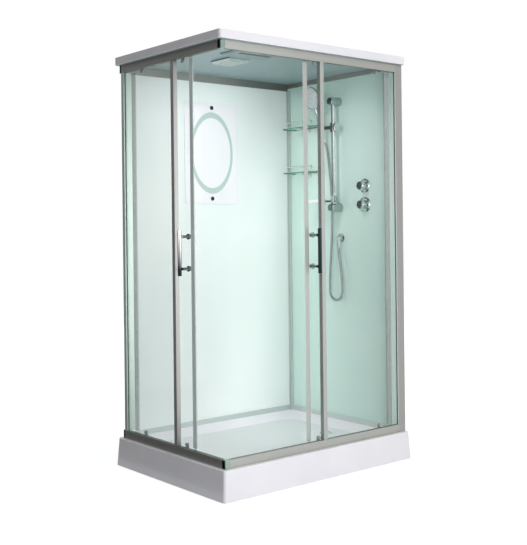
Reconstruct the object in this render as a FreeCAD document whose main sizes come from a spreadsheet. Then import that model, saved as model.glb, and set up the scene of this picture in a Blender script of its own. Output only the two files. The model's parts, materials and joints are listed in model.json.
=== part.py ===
import FreeCAD, Part
import math
import os
import re
import Sketcher

# Rectangular corner shower cabin with sliding doors on the two open sides.
# Millimetres, Z up from the floor, origin under the middle of the tray.
# The open corner is at -X, -Y; the walls stand at +X (controls) and +Y (mirror).

# Driving dimensions
SIZES = {
    # Cabin
    "length": 1200, "width": 900, "flare": 14, "tray_height": 140, "wall_height": 1900,
    "fascia_height": 40,
    # Tray and what carries it
    "apron_gap": 4, "tray_wall": 6, "basin_floor": 102, "basin_slope": 45, "basin_ledge": 8,
    "tray_corner": 14, "tray_edge": 5, "basin_round": 60, "frame_bar": 30, "frame_inset": 120,
    "frame_side": 210, "notch_width": 110, "notch_height": 76, "foot_radius": 26, "foot_thick": 8,
    "foot_edge": 4, "rod_radius": 6, "lock_radius": 12, "nut_thick": 8,
    # Drain
    "drain_inset": 171, "drain_y": -53, "drain_radius": 34, "drain_dome": 6, "drain_rim": 2.4,
    "drain_ease": 10, "drain_crown": 0.6, "neck_radius": 22, "neck_wall": 3, "cup_radius": 40,
    "cup_depth": 84, "waste_radius": 20, "waste_reach": 170, "waste_collar": 18,
    # Rails of the two open sides, measured inward from their outer face
    "rail_setback": 20, "rail_height": 40, "rail_box": 20, "rail_depth": 46, "rail_floor": 4,
    "rail_flange": 2, "rail_lip": 8, "lip_height": 24, "slot_depth": 18, "slot_play": 0.5,
    "corner_leg": 25, "corner_round": 17, "end_cap": 17, "end_cap_depth": 24, "end_cap_round": 5,
    # Posts
    "post_width": 50, "post_inset": 7, "post_round": 1.4, "rear_post": 22, "rear_post_step": 8,
    "post_slot": 12,
    # Walls
    "wall_thick": 6, "right_gap": 49, "back_gap": 26, "wall_rail": 18, "back_rail_top": 40,
    "right_rail_top": 25, "wall_rail_foot": 26, "wall_slot": 16, "strip_width": 24, "strip_leg": 12,
    "strip_thick": 6,
    # Fixed panes and their edge profiles
    "pane_thick": 6, "edge_width": 24, "edge_depth": 22, "edge_start": 3, "edge_slot": 12,
    # Doors
    "door_glass": 5, "door_depth": 27, "front_overlap": 29, "left_overlap": 190, "front_rest": 38,
    "left_rest": 76, "front_clear": 21, "left_clear": 33, "seal_gap": 0.5, "seal_width": 6,
    "lead_width": 25, "lead_depth": 16, "lead_slot": 11, "lead_rise": 5, "trail_width": 34,
    "trail_wall": 1, "glass_drop": 8, "glass_rise": 6,
    # Door rollers
    "wheel_radius": 8.5, "wheel_width": 4.8, "wheel_play": 0.3, "wheel_ease": 0.5, "axle_radius": 2.5,
    "axle_play": 0.08, "plate_thick": 4, "plate_width": 18, "plate_tail": 7, "plate_round": 6,
    "plate_gap": 1, "shoulder_radius": 4, "boss_radius": 5, "boss_height": 48, "head_thick": 1.5,
    "head_radius": 8, "front_roller_a": 90, "left_roller_a": 95,
    # Door handles
    "bar_radius": 9.5, "bar_round": 1.9, "bar_length": 215, "bar_level": 1092, "bar_off": 41.5,
    "bolt_pitch": 150, "standoff_radius": 7, "washer_radius": 14, "washer_thick": 3,
    "nut_cap_radius": 11, "nut_cap_thick": 8, "bolt_radius": 5, "bolt_play": 0.5, "front_handle": 61,
    "left_handle": 59,
    # Roof, vent and overhead shower
    "roof_skin": 4, "fascia_wall": 5, "roof_flange": 30, "roof_round": 6, "vent_left": 339,
    "vent_front": 180, "vent_length": 266, "vent_width": 200, "vent_drop": 10, "vent_bevel": 7,
    "duct_length": 160, "duct_width": 120, "vent_slot": 10, "vent_slot_length": 30, "vent_pitch": 19,
    "vent_count": 10, "overhead_left": 360, "overhead_front": 399, "overhead_length": 131,
    "overhead_width": 152, "overhead_drop": 17, "overhead_bevel": 10, "supply_radius": 10,
    "supply_rise": 26,
    # Mirror
    "mirror_x": -6, "mirror_width": 360, "mirror_drop": 147, "mirror_height": 555, "mirror_thick": 4,
    "mirror_round": 12, "cap_radius": 11, "cap_thick": 6, "cap_edge": 3, "cap_ease": 4, "cap_inset": 29,
    "pin_radius": 3, "pin_tail": 10,
    # Shelves
    "shelf_gap": 40, "shelf_length": 273, "shelf_depth": 86, "shelf_thick": 6, "shelf_round": 22,
    "shelf_drop": 269, "shelf_pitch": 253, "gallery_start": 28, "gallery_end": 35, "gallery_rise": 30,
    "gallery_radius": 4, "gallery_inset": 12, "gallery_bend": 12, "bracket_width": 50,
    "bracket_reach": 76, "bracket_tip": 6, "bracket_root": 12, "bracket_foot": 20, "bracket_plate": 8,
    # Slide bar and hand shower
    "slide_radius": 10, "slide_bite": 5, "slide_off": 45, "slide_gap": 428, "slide_drop": 148,
    "slide_length": 582, "clamp_radius": 26, "nose_radius": 21, "clamp_nose": 30, "clamp_round": 6,
    "clamp_crown": 1.8, "stud_radius": 5, "stud_tail": 10, "fit_play": 0.1, "slider_drop": 142,
    "sleeve_radius": 16, "sleeve_height": 50, "barrel_radius": 12, "barrel_reach": 61,
    "barrel_tail": 17, "slide_play": 0.3, "pivot_radius": 5, "pivot_length": 5, "clamp_knob": 24,
    "clamp_knob_thick": 15, "clamp_knob_foot": 5, "clamp_knob_ease": 2.5, "screw_radius": 4,
    "handset_shift": 82, "holder_offset": 12, "handset_lean": 22, "holder_radius": 14,
    "holder_taper": 1.7, "holder_band": 7, "holder_length": 36, "holder_play": 0.2, "grip_radius": 10.5,
    "grip_end": 9, "grip_drop": 55, "neck_of_grip": 7.5, "neck_length": 45, "neck_bury": 32,
    "head_offset": 180, "spray_radius": 65, "spray_thick": 17, "spray_round": 7, "face_rim": 5,
    "face_recess": 1.5, "nut_radius": 9, "lower_nut": 10, "nut_length": 20, "nut_taper": 6,
    "nut_lip": 0.6, "hose_radius": 7,
    # Soap dish
    "dish_reach": 70, "dish_shift": 44, "dish_length": 119, "dish_width": 60, "dish_depth": 16,
    "dish_wall": 3, "dish_rise": 30, "dish_round": 18, "dish_clamp": 17, "dish_clamp_height": 36,
    "dish_arm": 22, "dish_arm_thick": 10,
    # Wall outlet and controls
    "outlet_shift": 10, "outlet_fall": 167, "outlet_disc": 25, "disc_thick": 6, "disc_edge": 3,
    "outlet_off": 23, "elbow_root": 3, "elbow_swell": 1, "elbow_crown": 7, "elbow_ease": 4.5,
    "outlet_radius": 11, "outlet_drop": 33, "nipple_tail": 22, "nipple_radius": 10, "valve_y": -196,
    "mixer_level": 1322, "diverter_level": 1423, "mixer_flange": 41.5, "diverter_flange": 38.5,
    "flange_thick": 8, "flange_bore": 10, "flange_edge": 2.4, "flange_slope": 8, "flange_crown": 16,
    "flange_fall": 1.6, "knob_radius": 24.5, "knob_depth": 36, "knob_taper": 3.7, "knob_foot": 11,
    "knob_crown": 9, "knob_ease": 1.7, "knob_bevel": 6, "knob_drop": 3.6, "knob_gap": 0.5,
    "spindle_radius": 5, "spindle_play": 0.1, "spindle_depth": 26, "flute_radius": 8,
    "flute_offset": 28, "mixer_flutes": 3, "diverter_flutes": 5, "valve_radius": 24,
    "diverter_radius": 21.5, "valve_depth": 40, "valve_neck": 18, "neck_play": 0.5,
    "inlet_radius": 10.48, "inlet_spread": 80, "inlet_drop": 80, "inlet_collar": 40,
    "collar_radius": 13.6, "header_radius": 12, "link_radius": 9, "link_rise": 80, "link_run": 56,
}

# Planes that the pieces share
right_edge = "(0.5 * (length + flare))"
back_edge = "(0.5 * (width + flare))"
left_edge = "(0.5 * flare - 0.5 * length)"
front_edge = "(0.5 * flare - 0.5 * width)"
left_face = f"({left_edge} + rail_setback)"
front_face = f"({front_edge} + rail_setback)"
frame_top = "(tray_height + wall_height)"
wall_x = f"({right_edge} - right_gap - wall_thick)"
wall_y = f"({back_edge} - back_gap - wall_thick)"
post_x = f"({right_edge} - post_inset - post_width)"
glass_low = "(tray_height + rail_height - glass_drop)"
glass_high = f"({frame_top} - rail_height + glass_rise)"
lead_start = "(door_depth + 0.5 * door_glass - 0.5 * lead_depth)"
rear_post_y = f"({wall_y} - rear_post)"
front_shut = f"({left_face} + {lead_start} + seal_gap)"
left_shut = f"({front_face} + {lead_start} + seal_gap)"

# Places that follow from the sizes
PLACES = {
    "drain_x": f"{wall_x} - drain_inset",
    "front_gap": f"0.5 * ({post_x} - {front_shut} - front_clear - front_overlap + front_handle + front_rest)",
    "front_opening": f"{front_shut} - {left_face} + front_gap",
    "front_door": "front_gap + front_overlap",
    "front_travel": "front_gap - front_handle - front_rest",
    "front_roller_b": "front_door - front_roller_a",
    "left_gap": f"0.5 * ({rear_post_y} - {left_shut} - left_clear - left_overlap + left_handle + left_rest)",
    "left_opening": f"{left_shut} - {front_face} + left_gap",
    "left_door": "left_gap + left_overlap",
    "left_travel": "left_gap - left_handle - left_rest",
    "left_roller_b": "left_door - left_roller_a",
    "vent_x": f"{left_face} + vent_left",
    "vent_y": f"{front_face} + vent_front",
    "overhead_x": f"{left_face} + overhead_left",
    "overhead_y": f"{front_face} + overhead_front",
    "mirror_high": f"{frame_top} - mirror_drop",
    "mirror_low": "mirror_high - mirror_height",
    "shelf_far": f"{wall_y} - shelf_gap",
    "shelf_near": "shelf_far - shelf_length",
    "gallery_near": "shelf_near + gallery_start",
    "gallery_far": "shelf_far - gallery_end",
    "bracket_y": "0.5 * (shelf_near + shelf_far)",
    "upper_shelf": f"{frame_top} - shelf_drop",
    "lower_shelf": "upper_shelf - shelf_pitch",
    "slide_y": f"{wall_y} - slide_gap",
    "slide_high": f"{frame_top} - slide_drop",
    "slide_low": "slide_high - slide_length",
    "slider_level": "slide_high - slider_drop",
    "handset_y": "slide_y + handset_shift",
    "dish_near": "slide_y + dish_shift",
    "dish_level": "slide_low + dish_rise",
    "outlet_y": "slide_y - outlet_shift",
    "outlet_level": "slide_low - outlet_fall",
}

doc = FreeCAD.newDocument("shower_cabin")
sheet = doc.addObject("Spreadsheet::Sheet", "Sizes")
cells = {name: str(size) for name, size in SIZES.items()}
cells.update({name: f"={place}" for name, place in PLACES.items()})
for row, (name, content) in enumerate(cells.items(), 1):
    sheet.set(f"A{row}", content)
    sheet.setAlias(f"A{row}", name)
doc.recompute()


# Binding sizes to the sheet
def bound(text):
    """The expression text with every size read from the sheet."""
    return re.sub(r"[a-z_]+", lambda word: "Sizes." + word.group()
                  if word.group() in cells else word.group(), text)


def number(text):
    """The present value of an expression."""
    return float(sheet.evalExpression(bound(text)))


def bind(piece, **texts):
    """Bind properties to expressions."""
    for prop, text in texts.items():
        piece.setExpression(prop, bound(text))


def place(piece, x="0", y="0", z="0", turn=None):
    """Turn a piece and bind its position."""
    if turn:
        piece.Placement = FreeCAD.Placement(FreeCAD.Vector(), turn)
    for axis, text in zip("xyz", (x, y, z)):
        piece.setExpression(f"Placement.Base.{axis}", bound(text))


# Turned bodies: local Z points off the right wall, off the back wall, or towards the rear
OFF_RIGHT_WALL = FreeCAD.Rotation(FreeCAD.Vector(0, 1, 0), -90)
OFF_BACK_WALL = FreeCAD.Rotation(FreeCAD.Vector(1, 0, 0), 90)
TOWARDS_REAR = FreeCAD.Rotation(FreeCAD.Vector(1, 0, 0), -90)
TOWARDS_WALL = FreeCAD.Rotation(FreeCAD.Vector(0, 1, 0), 90)


# Bodies and their features
def new_body(label, x="0", y="0", z="0", turn=None):
    body = doc.addObject("PartDesign::Body", label)
    body.Label = label
    place(body, x, y, z, turn)
    return body


def new_sketch(body, plane, level):
    sketch = body.newObject("Sketcher::SketchObject", "profile")
    origin = next(item for item in body.Origin.OriginFeatures if item.Role == plane)
    sketch.AttachmentSupport = [(origin, "")]
    sketch.MapMode = "FlatFace"
    sketch.setExpression("AttachmentOffset.Base.z", bound(level))
    return sketch


def hold(sketch, kind, index, point, text):
    """Bind one distance from the sketch's origin."""
    rule = sketch.addConstraint(Sketcher.Constraint(kind, -1, 1, index, point, number(text)))
    sketch.setExpression(f"Constraints[{rule}]", bound(text))


def outline(body, plane, *loops, level="0"):
    """A sketch of closed straight-sided loops whose corners are bound to the sheet."""
    sketch = new_sketch(body, plane, level)
    for corners in loops:
        first = sketch.GeometryCount
        count = len(corners)
        spots = [FreeCAD.Vector(number(u), number(v), 0) for u, v in corners]
        for index in range(count):
            sketch.addGeometry(Part.LineSegment(spots[index], spots[(index + 1) % count]), False)
        for index in range(count):
            following = first + (index + 1) % count
            sketch.addConstraint(Sketcher.Constraint("Coincident", first + index, 2, following, 1))
        for index, (u, v) in enumerate(corners):
            hold(sketch, "DistanceX", first + index, 1, u)
            hold(sketch, "DistanceY", first + index, 1, v)
    return sketch


def rounds(body, plane, *circles, level="0"):
    """A sketch of circles given as centre u, centre v and radius."""
    sketch = new_sketch(body, plane, level)
    for u, v, radius in circles:
        centre = FreeCAD.Vector(number(u), number(v), 0)
        index = sketch.addGeometry(Part.Circle(centre, FreeCAD.Vector(0, 0, 1), number(radius)), False)
        hold(sketch, "DistanceX", index, 3, u)
        hold(sketch, "DistanceY", index, 3, v)
        rule = sketch.addConstraint(Sketcher.Constraint("Radius", index, number(radius)))
        sketch.setExpression(f"Constraints[{rule}]", bound(radius))
    return sketch


def rectangle(x0, x1, y0, y1):
    return [(x0, y0), (x1, y0), (x1, y1), (x0, y1)]


def rounded(body, plane, x0, x1, y0, y1, radius, level="0"):
    """A sketch of a rectangle with round corners."""
    sketch = new_sketch(body, plane, level)
    low_x, high_x, low_y, high_y = (f"({x0}) + {radius}", f"({x1}) - {radius}",
                                    f"({y0}) + {radius}", f"({y1}) - {radius}")
    sides = [((low_x, y0), (high_x, y0), (high_x, low_y)), ((x1, low_y), (x1, high_y), (high_x, high_y)),
             ((high_x, y1), (low_x, y1), (low_x, high_y)), ((x0, high_y), (x0, low_y), (low_x, low_y))]
    for turn, (start, end, centre) in enumerate(sides):
        spots = [FreeCAD.Vector(number(u), number(v), 0) for u, v in (start, end, centre)]
        line = sketch.addGeometry(Part.LineSegment(spots[0], spots[1]), False)
        for point, (u, v) in ((1, start), (2, end)):
            hold(sketch, "DistanceX", line, point, u)
            hold(sketch, "DistanceY", line, point, v)
        circle = Part.Circle(spots[2], FreeCAD.Vector(0, 0, 1), number(radius))
        quarter = Part.ArcOfCircle(circle, (turn - 1) * math.pi / 2, turn * math.pi / 2)
        arc = sketch.addGeometry(quarter, False)
        rule = sketch.addConstraint(Sketcher.Constraint("Radius", arc, number(radius)))
        sketch.setExpression(f"Constraints[{rule}]", bound(radius))
        sketch.addConstraint(Sketcher.Constraint("Coincident", line, 2, arc, 1))
    for line in range(0, 2 * len(sides), 2):
        following = (line + 2) % (2 * len(sides))
        sketch.addConstraint(Sketcher.Constraint("Coincident", line + 1, 2, following, 1))
    return sketch


def pad(body, sketch, length, back=False, both=False):
    feature = body.newObject("PartDesign::Pad", "pad")
    feature.Profile = sketch
    bind(feature, Length=length)
    feature.Reversed = back
    feature.Midplane = both
    return feature


def pocket(body, sketch, length=None, back=False):
    """Cut a profile away, through everything on both sides where no length is given."""
    doc.recompute()
    before = body.Shape.Volume
    feature = body.newObject("PartDesign::Pocket", "pocket")
    feature.Profile = sketch
    feature.Reversed = back
    if length:
        bind(feature, Length=length)
    else:
        feature.Type = "ThroughAll"
        feature.Midplane = True
    doc.recompute()
    if body.Shape.Volume >= before:
        raise ValueError(f"A pocket in {body.Label} cuts nothing")
    return feature


def revolve(body, *corners):
    """Turn a profile of radius and height about the body's own Z axis."""
    sketch = outline(body, "XZ_Plane", list(corners))
    feature = body.newObject("PartDesign::Revolution", "revolution")
    feature.Profile = sketch
    feature.ReferenceAxis = (sketch, ["V_Axis"])
    feature.Angle = 360
    return feature


def loft(body, kind, lower, upper):
    """An additive or subtractive loft between two sketches."""
    feature = body.newObject(f"PartDesign::{kind}Loft", "loft")
    feature.Profile = lower
    feature.Sections = [upper]
    feature.Ruled = True
    return feature


def ease(body, kind, size, chosen):
    """Fillet or chamfer the edges of the body that the test chooses, in its own frame."""
    doc.recompute()
    tip = body.Tip
    names = [f"Edge{index}" for index, edge in enumerate(tip.Shape.Edges, 1) if chosen(edge)]
    if not names:
        raise ValueError(f"No edge of {body.Label} is chosen")
    feature = body.newObject(f"PartDesign::{kind}", "easing")
    feature.Base = (tip, names)
    bind(feature, **{"Radius" if kind == "Fillet" else "Size": size})
    return feature


def along(edge, axis):
    """Whether a straight edge runs mostly along an axis."""
    if len(edge.Vertexes) < 2:
        return False
    chord = edge.Vertexes[1].Point - edge.Vertexes[0].Point
    return edge.Length - chord.Length < 0.001 and abs(chord.dot(axis)) > 0.9 * chord.Length


def lies(edge, axis, text):
    """Whether both ends of an edge have the coordinate that an expression gives."""
    return all(abs(getattr(vertex.Point, axis) - number(text)) < 0.01 for vertex in edge.Vertexes)


X_AXIS = FreeCAD.Vector(1, 0, 0)
Y_AXIS = FreeCAD.Vector(0, 1, 0)
Z_AXIS = FreeCAD.Vector(0, 0, 1)


# Plain solids
def cylinder(radius, length, x, y, z, turn=None):
    piece = doc.addObject("Part::Cylinder", "cylinder")
    bind(piece, Radius=radius, Height=length)
    place(piece, x, y, z, turn)
    return piece


def joined(label, *pieces):
    piece = doc.addObject("Part::MultiFuse", label)
    piece.Label = label
    piece.Shapes = list(pieces)
    piece.Refine = True
    return piece


def cut_from(label, base, tool):
    piece = doc.addObject("Part::Cut", label)
    piece.Label = label
    piece.Base = base
    piece.Tool = tool
    return piece


def group(label, *pieces):
    """Separate solids that share one node."""
    piece = doc.addObject("Part::Compound", label)
    piece.Label = label
    piece.Links = list(pieces)
    return piece


parts = []


def keep(*pieces):
    parts.extend(pieces)


# Shower tray: an acrylic shell with a flared apron, a sloped basin and a rear notch for the waste pipe
tray = new_body("shower_tray")
basin_left = f"({left_face} + rail_depth + basin_ledge)"
basin_front = f"({front_face} + rail_depth + basin_ledge)"
basin_right = f"({wall_x} - strip_thick - basin_ledge)"
basin_back = f"({wall_y} - strip_thick - basin_ledge)"


def apron(flare, inset, radius, level):
    """A level outline of the apron, flared on the open sides."""
    return rounded(tray, "XY_Plane", f"{left_edge} - {flare} + {inset}", f"{right_edge} - {inset}",
                   f"{front_edge} - {flare} + {inset}", f"{back_edge} - {inset}", radius, level)


def basin(inset, radius, level):
    """A level outline of the basin, drawn in on all four sides."""
    return rounded(tray, "XY_Plane", f"{basin_left} + ({inset})", f"{basin_right} - ({inset})",
                   f"{basin_front} + ({inset})", f"{basin_back} - ({inset})", radius, level)


loft(tray, "Additive", apron("flare", "0", "tray_corner", "apron_gap"),
     apron("0", "0", "tray_corner", "tray_height"))
loft(tray, "Subtractive", apron("flare", "tray_wall", "(tray_corner - tray_wall)", "apron_gap"),
     apron("0", "tray_wall", "(tray_corner - tray_wall)", "tray_height - tray_wall"))
shell_round = "(basin_round + tray_wall)"
loft(tray, "Additive", basin("basin_slope - tray_wall", shell_round, "basin_floor - tray_wall"),
     basin("0 - tray_wall", shell_round, "tray_height"))
loft(tray, "Subtractive", basin("basin_slope", "basin_round", "basin_floor"),
     basin("0", "basin_round", "tray_height"))
ease(tray, "Fillet", "tray_edge", lambda edge: lies(edge, "z", "tray_height")
     and (lies(edge, "x", left_edge) or lies(edge, "y", front_edge)))
pocket(tray, rounds(tray, "XY_Plane", ("drain_x", "drain_y", "neck_radius + slot_play"),
                    level="basin_floor"), "2 * tray_wall")
pocket(tray, outline(tray, "XZ_Plane", rectangle(
    "drain_x - 0.5 * notch_width", "drain_x + 0.5 * notch_width", "0", "notch_height"),
    level=f"2 * tray_wall - {back_edge}"), "2 * tray_wall")
keep(tray)

# Steel ladder frame under the basin
ladder = new_body("tray_support_frame", z="basin_floor - tray_wall - frame_bar")
half_span = "(0.5 * length - frame_inset)"
half_spread = "(0.5 * width - frame_side)"
window_sides = (f"frame_bar - {half_spread}", f"{half_spread} - frame_bar")
pad(ladder, outline(ladder, "XY_Plane",
                    rectangle(f"0 - {half_span}", half_span, f"0 - {half_spread}", half_spread),
                    rectangle(f"frame_bar - {half_span}", "-0.5 * frame_bar", *window_sides),
                    rectangle("0.5 * frame_bar", f"{half_span} - frame_bar", *window_sides)),
    "frame_bar")
keep(ladder)

# Six adjustable feet: a pad, a threaded rod up to the frame and a lock nut
frame_foot = "(basin_floor - tray_wall - frame_bar)"
feet = []
for row in (f"0.5 * frame_bar - {half_spread}", f"{half_spread} - 0.5 * frame_bar"):
    for column in (f"0.5 * frame_bar - {half_span}", "0", f"{half_span} - 0.5 * frame_bar"):
        foot = new_body("foot", column, row)
        revolve(foot, ("0", "0"), ("foot_radius", "0"), ("foot_radius", "foot_edge"),
                ("lock_radius", "foot_thick"), ("rod_radius", "foot_thick"),
                ("rod_radius", f"{frame_foot} - nut_thick"),
                ("lock_radius", f"{frame_foot} - nut_thick"), ("lock_radius", frame_foot),
                ("0", frame_foot))
        feet.append(foot)
keep(group("tray_feet", *feet))

# Drain: a domed cover on the basin floor, and the trap with its waste pipe under it
cover = new_body("drain_cover", "drain_x", "drain_y", "basin_floor")
revolve(cover, ("0", "-2 * tray_wall"), ("neck_radius - 2 * neck_wall", "-2 * tray_wall"),
        ("neck_radius - 2 * neck_wall", "0"), ("drain_radius", "0"),
        ("drain_radius", "drain_rim"), ("drain_radius - drain_ease", "drain_dome - drain_crown"),
        ("0", "drain_dome"))
keep(cover)
trap = new_body("drain_trap", "drain_x", "drain_y", "basin_floor")
cup_foot = "(0 - tray_wall - cup_depth)"
revolve(trap, ("0", cup_foot), ("cup_radius", cup_foot), ("cup_radius", "0 - tray_wall"),
        ("neck_radius", "0 - tray_wall"), ("neck_radius", "0 - neck_wall"),
        ("neck_radius - neck_wall", "0 - neck_wall"),
        ("neck_radius - neck_wall", "-2 * neck_wall - tray_wall"),
        ("cup_radius - neck_wall", "-2 * neck_wall - tray_wall"),
        ("cup_radius - neck_wall", f"{cup_foot} + neck_wall"), ("0", f"{cup_foot} + neck_wall"))
waste_z = f"({cup_foot} + waste_radius + neck_wall)"
pad(trap, rounds(trap, "XZ_Plane", ("0", waste_z, "waste_radius"),
                 level="2 * neck_wall - cup_radius"), "waste_reach - cup_radius + 2 * neck_wall", back=True)
pad(trap, rounds(trap, "XZ_Plane", ("0", waste_z, "waste_radius + neck_wall"),
                 level="2 * neck_wall - cup_radius"), "waste_collar", back=True)
pocket(trap, rounds(trap, "XZ_Plane", ("0", waste_z, "waste_radius - neck_wall"),
                    level="4 * neck_wall - cup_radius"), "waste_reach", back=False)
keep(trap)

# Rails of the open sides: a box that holds the fixed pane and a lipped track for the rollers
pane_play = "(pane_thick + 2 * slot_play)"
slot_near = f"(0.5 * rail_box - 0.5 * {pane_play})"
slot_far = f"(0.5 * rail_box + 0.5 * {pane_play})"


def rail_profile(up):
    """Depth and height of the extrusion; up is 1 on the tray and -1 under the roof."""
    corners = [("0", "0"), ("rail_depth", "0"), ("rail_depth", "lip_height"),
               ("rail_depth - rail_lip", "lip_height"),
               ("rail_depth - rail_lip", "lip_height - rail_flange"),
               ("rail_depth - rail_flange", "lip_height - rail_flange"),
               ("rail_depth - rail_flange", "rail_floor"), ("rail_box", "rail_floor"),
               ("rail_box", "rail_height"), (slot_far, "rail_height"),
               (slot_far, "rail_height - slot_depth"), (slot_near, "rail_height - slot_depth"),
               (slot_near, "rail_height"), ("0", "rail_height")]
    return [(depth, f"{up} * ({height})") for depth, height in corners]


# The corner cut leaves room for the corner cap and mitres the tracks behind it
mitre = [("-1", "-1"), ("corner_leg", "-1"), ("corner_leg", "corner_leg"),
         ("2 * rail_depth", "2 * rail_depth"), ("-1", "2 * rail_depth")]
left_rail_length = f"({wall_y} - {front_face})"
for level, up, where in (("tray_height", 1, "bottom"), (frame_top, -1, "top")):
    rail = new_body(f"{where}_rail_front", left_face, front_face, level)
    pad(rail, outline(rail, "YZ_Plane", rail_profile(up)), f"{post_x} - {left_face}")
    pocket(rail, outline(rail, "XY_Plane", mitre))
    keep(rail)
    rail = new_body(f"{where}_rail_left", left_face, front_face, level)
    pad(rail, outline(rail, "XZ_Plane", rail_profile(up)), left_rail_length, back=True)
    pocket(rail, outline(rail, "XY_Plane", [(v, u) for u, v in mitre]))
    keep(rail)

# Chrome caps: rounded blocks at the open corner, and plugs at the rear ends of the left rails
caps = []
for level in ("tray_height", f"{frame_top} - rail_height"):
    cap = new_body("corner_cap", left_face, front_face, level)
    pad(cap, outline(cap, "XY_Plane", rectangle("0", "corner_leg", "0", "corner_leg")), "rail_height")
    ease(cap, "Fillet", "corner_round", lambda edge: along(edge, Z_AXIS)
         and lies(edge, "x", "0") and lies(edge, "y", "0"))
    plug = new_body("end_cap", left_face, wall_y, level)
    pad(plug, outline(plug, "XY_Plane", rectangle("0", "end_cap_depth", "0", "end_cap")), "rail_height")
    ease(plug, "Fillet", "end_cap_round", lambda edge: along(edge, Z_AXIS)
         and lies(edge, "y", "end_cap"))
    caps += [cap, plug]
keep(group("rail_corner_caps", *caps))

# Right front post: takes the fixed front pane on one side and the right wall on the other
post = new_body("right_front_post", post_x, front_face, "tray_height")
panel_u = f"({wall_x} - {post_x})"
pad(post, outline(post, "XY_Plane", [
    ("0", "0"), ("post_width", "0"), ("post_width", "rail_depth"),
    (f"{panel_u} + wall_thick + slot_play", "rail_depth"),
    (f"{panel_u} + wall_thick + slot_play", "rail_depth - slot_depth"),
    (f"{panel_u} - slot_play", "rail_depth - slot_depth"), (f"{panel_u} - slot_play", "rail_depth"),
    ("0", "rail_depth"), ("0", slot_far), ("slot_depth", slot_far), ("slot_depth", slot_near),
    ("0", slot_near)]), "wall_height")
ease(post, "Fillet", "post_round", lambda edge: along(edge, Z_AXIS)
     and (lies(edge, "x", "post_width") or lies(edge, "y", "0")))
keep(post)

# Left rear post: between the left rails, with a step behind it that takes the back wall
post = new_body("left_rear_post", left_face, rear_post_y, "tray_height + rail_height")
wall_v = "(rear_post - slot_play)"
wall_v_far = "(rear_post + wall_thick + slot_play)"
pad(post, outline(post, "XY_Plane", [
    ("0", "0"), (slot_near, "0"), (slot_near, "post_slot"), (slot_far, "post_slot"), (slot_far, "0"),
    ("rail_depth", "0"), ("rail_depth", wall_v), ("rail_depth - slot_depth", wall_v),
    ("rail_depth - slot_depth", wall_v_far), ("rail_depth", wall_v_far),
    ("rail_depth", f"{wall_v_far} + rail_floor"), ("rear_post_step", f"{wall_v_far} + rail_floor"),
    ("rear_post_step", "rear_post"), ("0", "rear_post")]), "wall_height - 2 * rail_height")
keep(post)

# Glass walls in their channels, and the strip that closes the inner corner
wall_low = "(tray_height + wall_rail_foot - wall_slot + slot_play)"
back_high = f"({frame_top} - back_rail_top + wall_slot - slot_play)"
right_high = f"({frame_top} - right_rail_top + wall_slot - slot_play)"
wall_rail_near = "(0 - 0.5 * (wall_rail - wall_thick))"
wall_rail_far = "(wall_thick + 0.5 * (wall_rail - wall_thick))"
back_panel = new_body("back_wall_panel", y=wall_y)
panel_left = f"({left_face} + rail_depth - slot_depth + slot_play)"
pad(back_panel, outline(back_panel, "XZ_Plane", rectangle(
    panel_left, f"{wall_x} + {wall_rail_near} - slot_play", wall_low, back_high)), "wall_thick", back=True)
cap_levels = ("mirror_low + cap_inset", "mirror_high - cap_inset")
pocket(back_panel, rounds(back_panel, "XZ_Plane", *[
    ("mirror_x", level, "pin_radius + slot_play") for level in cap_levels]))
keep(back_panel)
right_panel = new_body("right_wall_panel", x=wall_x)
pad(right_panel, outline(right_panel, "YZ_Plane", rectangle(
    f"{front_face} + rail_depth - slot_depth + slot_play", f"{wall_y} + wall_thick",
    wall_low, right_high)), "wall_thick")
pocket(right_panel, rounds(
    right_panel, "YZ_Plane", ("valve_y", "mixer_level", "valve_neck + neck_play"),
    ("valve_y", "diverter_level", "valve_neck + neck_play"),
    ("outlet_y", "outlet_level", "nipple_radius + neck_play"),
    ("slide_y", "slide_low", "stud_radius + neck_play"),
    ("slide_y", "slide_high", "stud_radius + neck_play")))
keep(right_panel)


def wall_channel(up, height):
    """Depth and height of a wall rail with its glass slot."""
    corners = [(wall_rail_near, "0"), (wall_rail_far, "0"), (wall_rail_far, height),
               ("wall_thick + slot_play", height), ("wall_thick + slot_play", f"{height} - wall_slot"),
               ("0 - slot_play", f"{height} - wall_slot"), ("0 - slot_play", height),
               (wall_rail_near, height)]
    return [(depth, f"{up} * ({text})") for depth, text in corners]


for where, level, up, back_height, right_height in (
        ("top", frame_top, -1, "back_rail_top", "right_rail_top"),
        ("bottom", "tray_height", 1, "wall_rail_foot", "wall_rail_foot")):
    back_start = f"({left_face} + rail_depth)"
    back_rail = new_body("back_rail", back_start, wall_y, level)
    back_profile = outline(back_rail, "YZ_Plane", wall_channel(up, back_height))
    pad(back_rail, back_profile, f"{wall_x} + {wall_rail_near} - {back_start}")
    right_start = f"({front_face} + rail_depth)"
    right_rail = new_body("right_rail", wall_x, right_start, level)
    right_profile = outline(right_rail, "XZ_Plane", wall_channel(up, right_height))
    pad(right_rail, right_profile, f"{wall_y} + {wall_rail_far} - {right_start}", back=True)
    keep(group(f"wall_{where}_rails", back_rail, right_rail))
strip = new_body("wall_corner_strip", wall_x, wall_y, "tray_height + wall_rail_foot")
pad(strip, outline(strip, "XY_Plane", [
    ("0", "0"), ("0 - strip_leg", "0"), ("0 - strip_leg", "0 - strip_thick"),
    ("0 - strip_thick", "0 - strip_thick"), ("0 - strip_thick", "0 - strip_width"),
    ("0", "0 - strip_width")]), "wall_height - wall_rail_foot - back_rail_top")
keep(strip)

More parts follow.
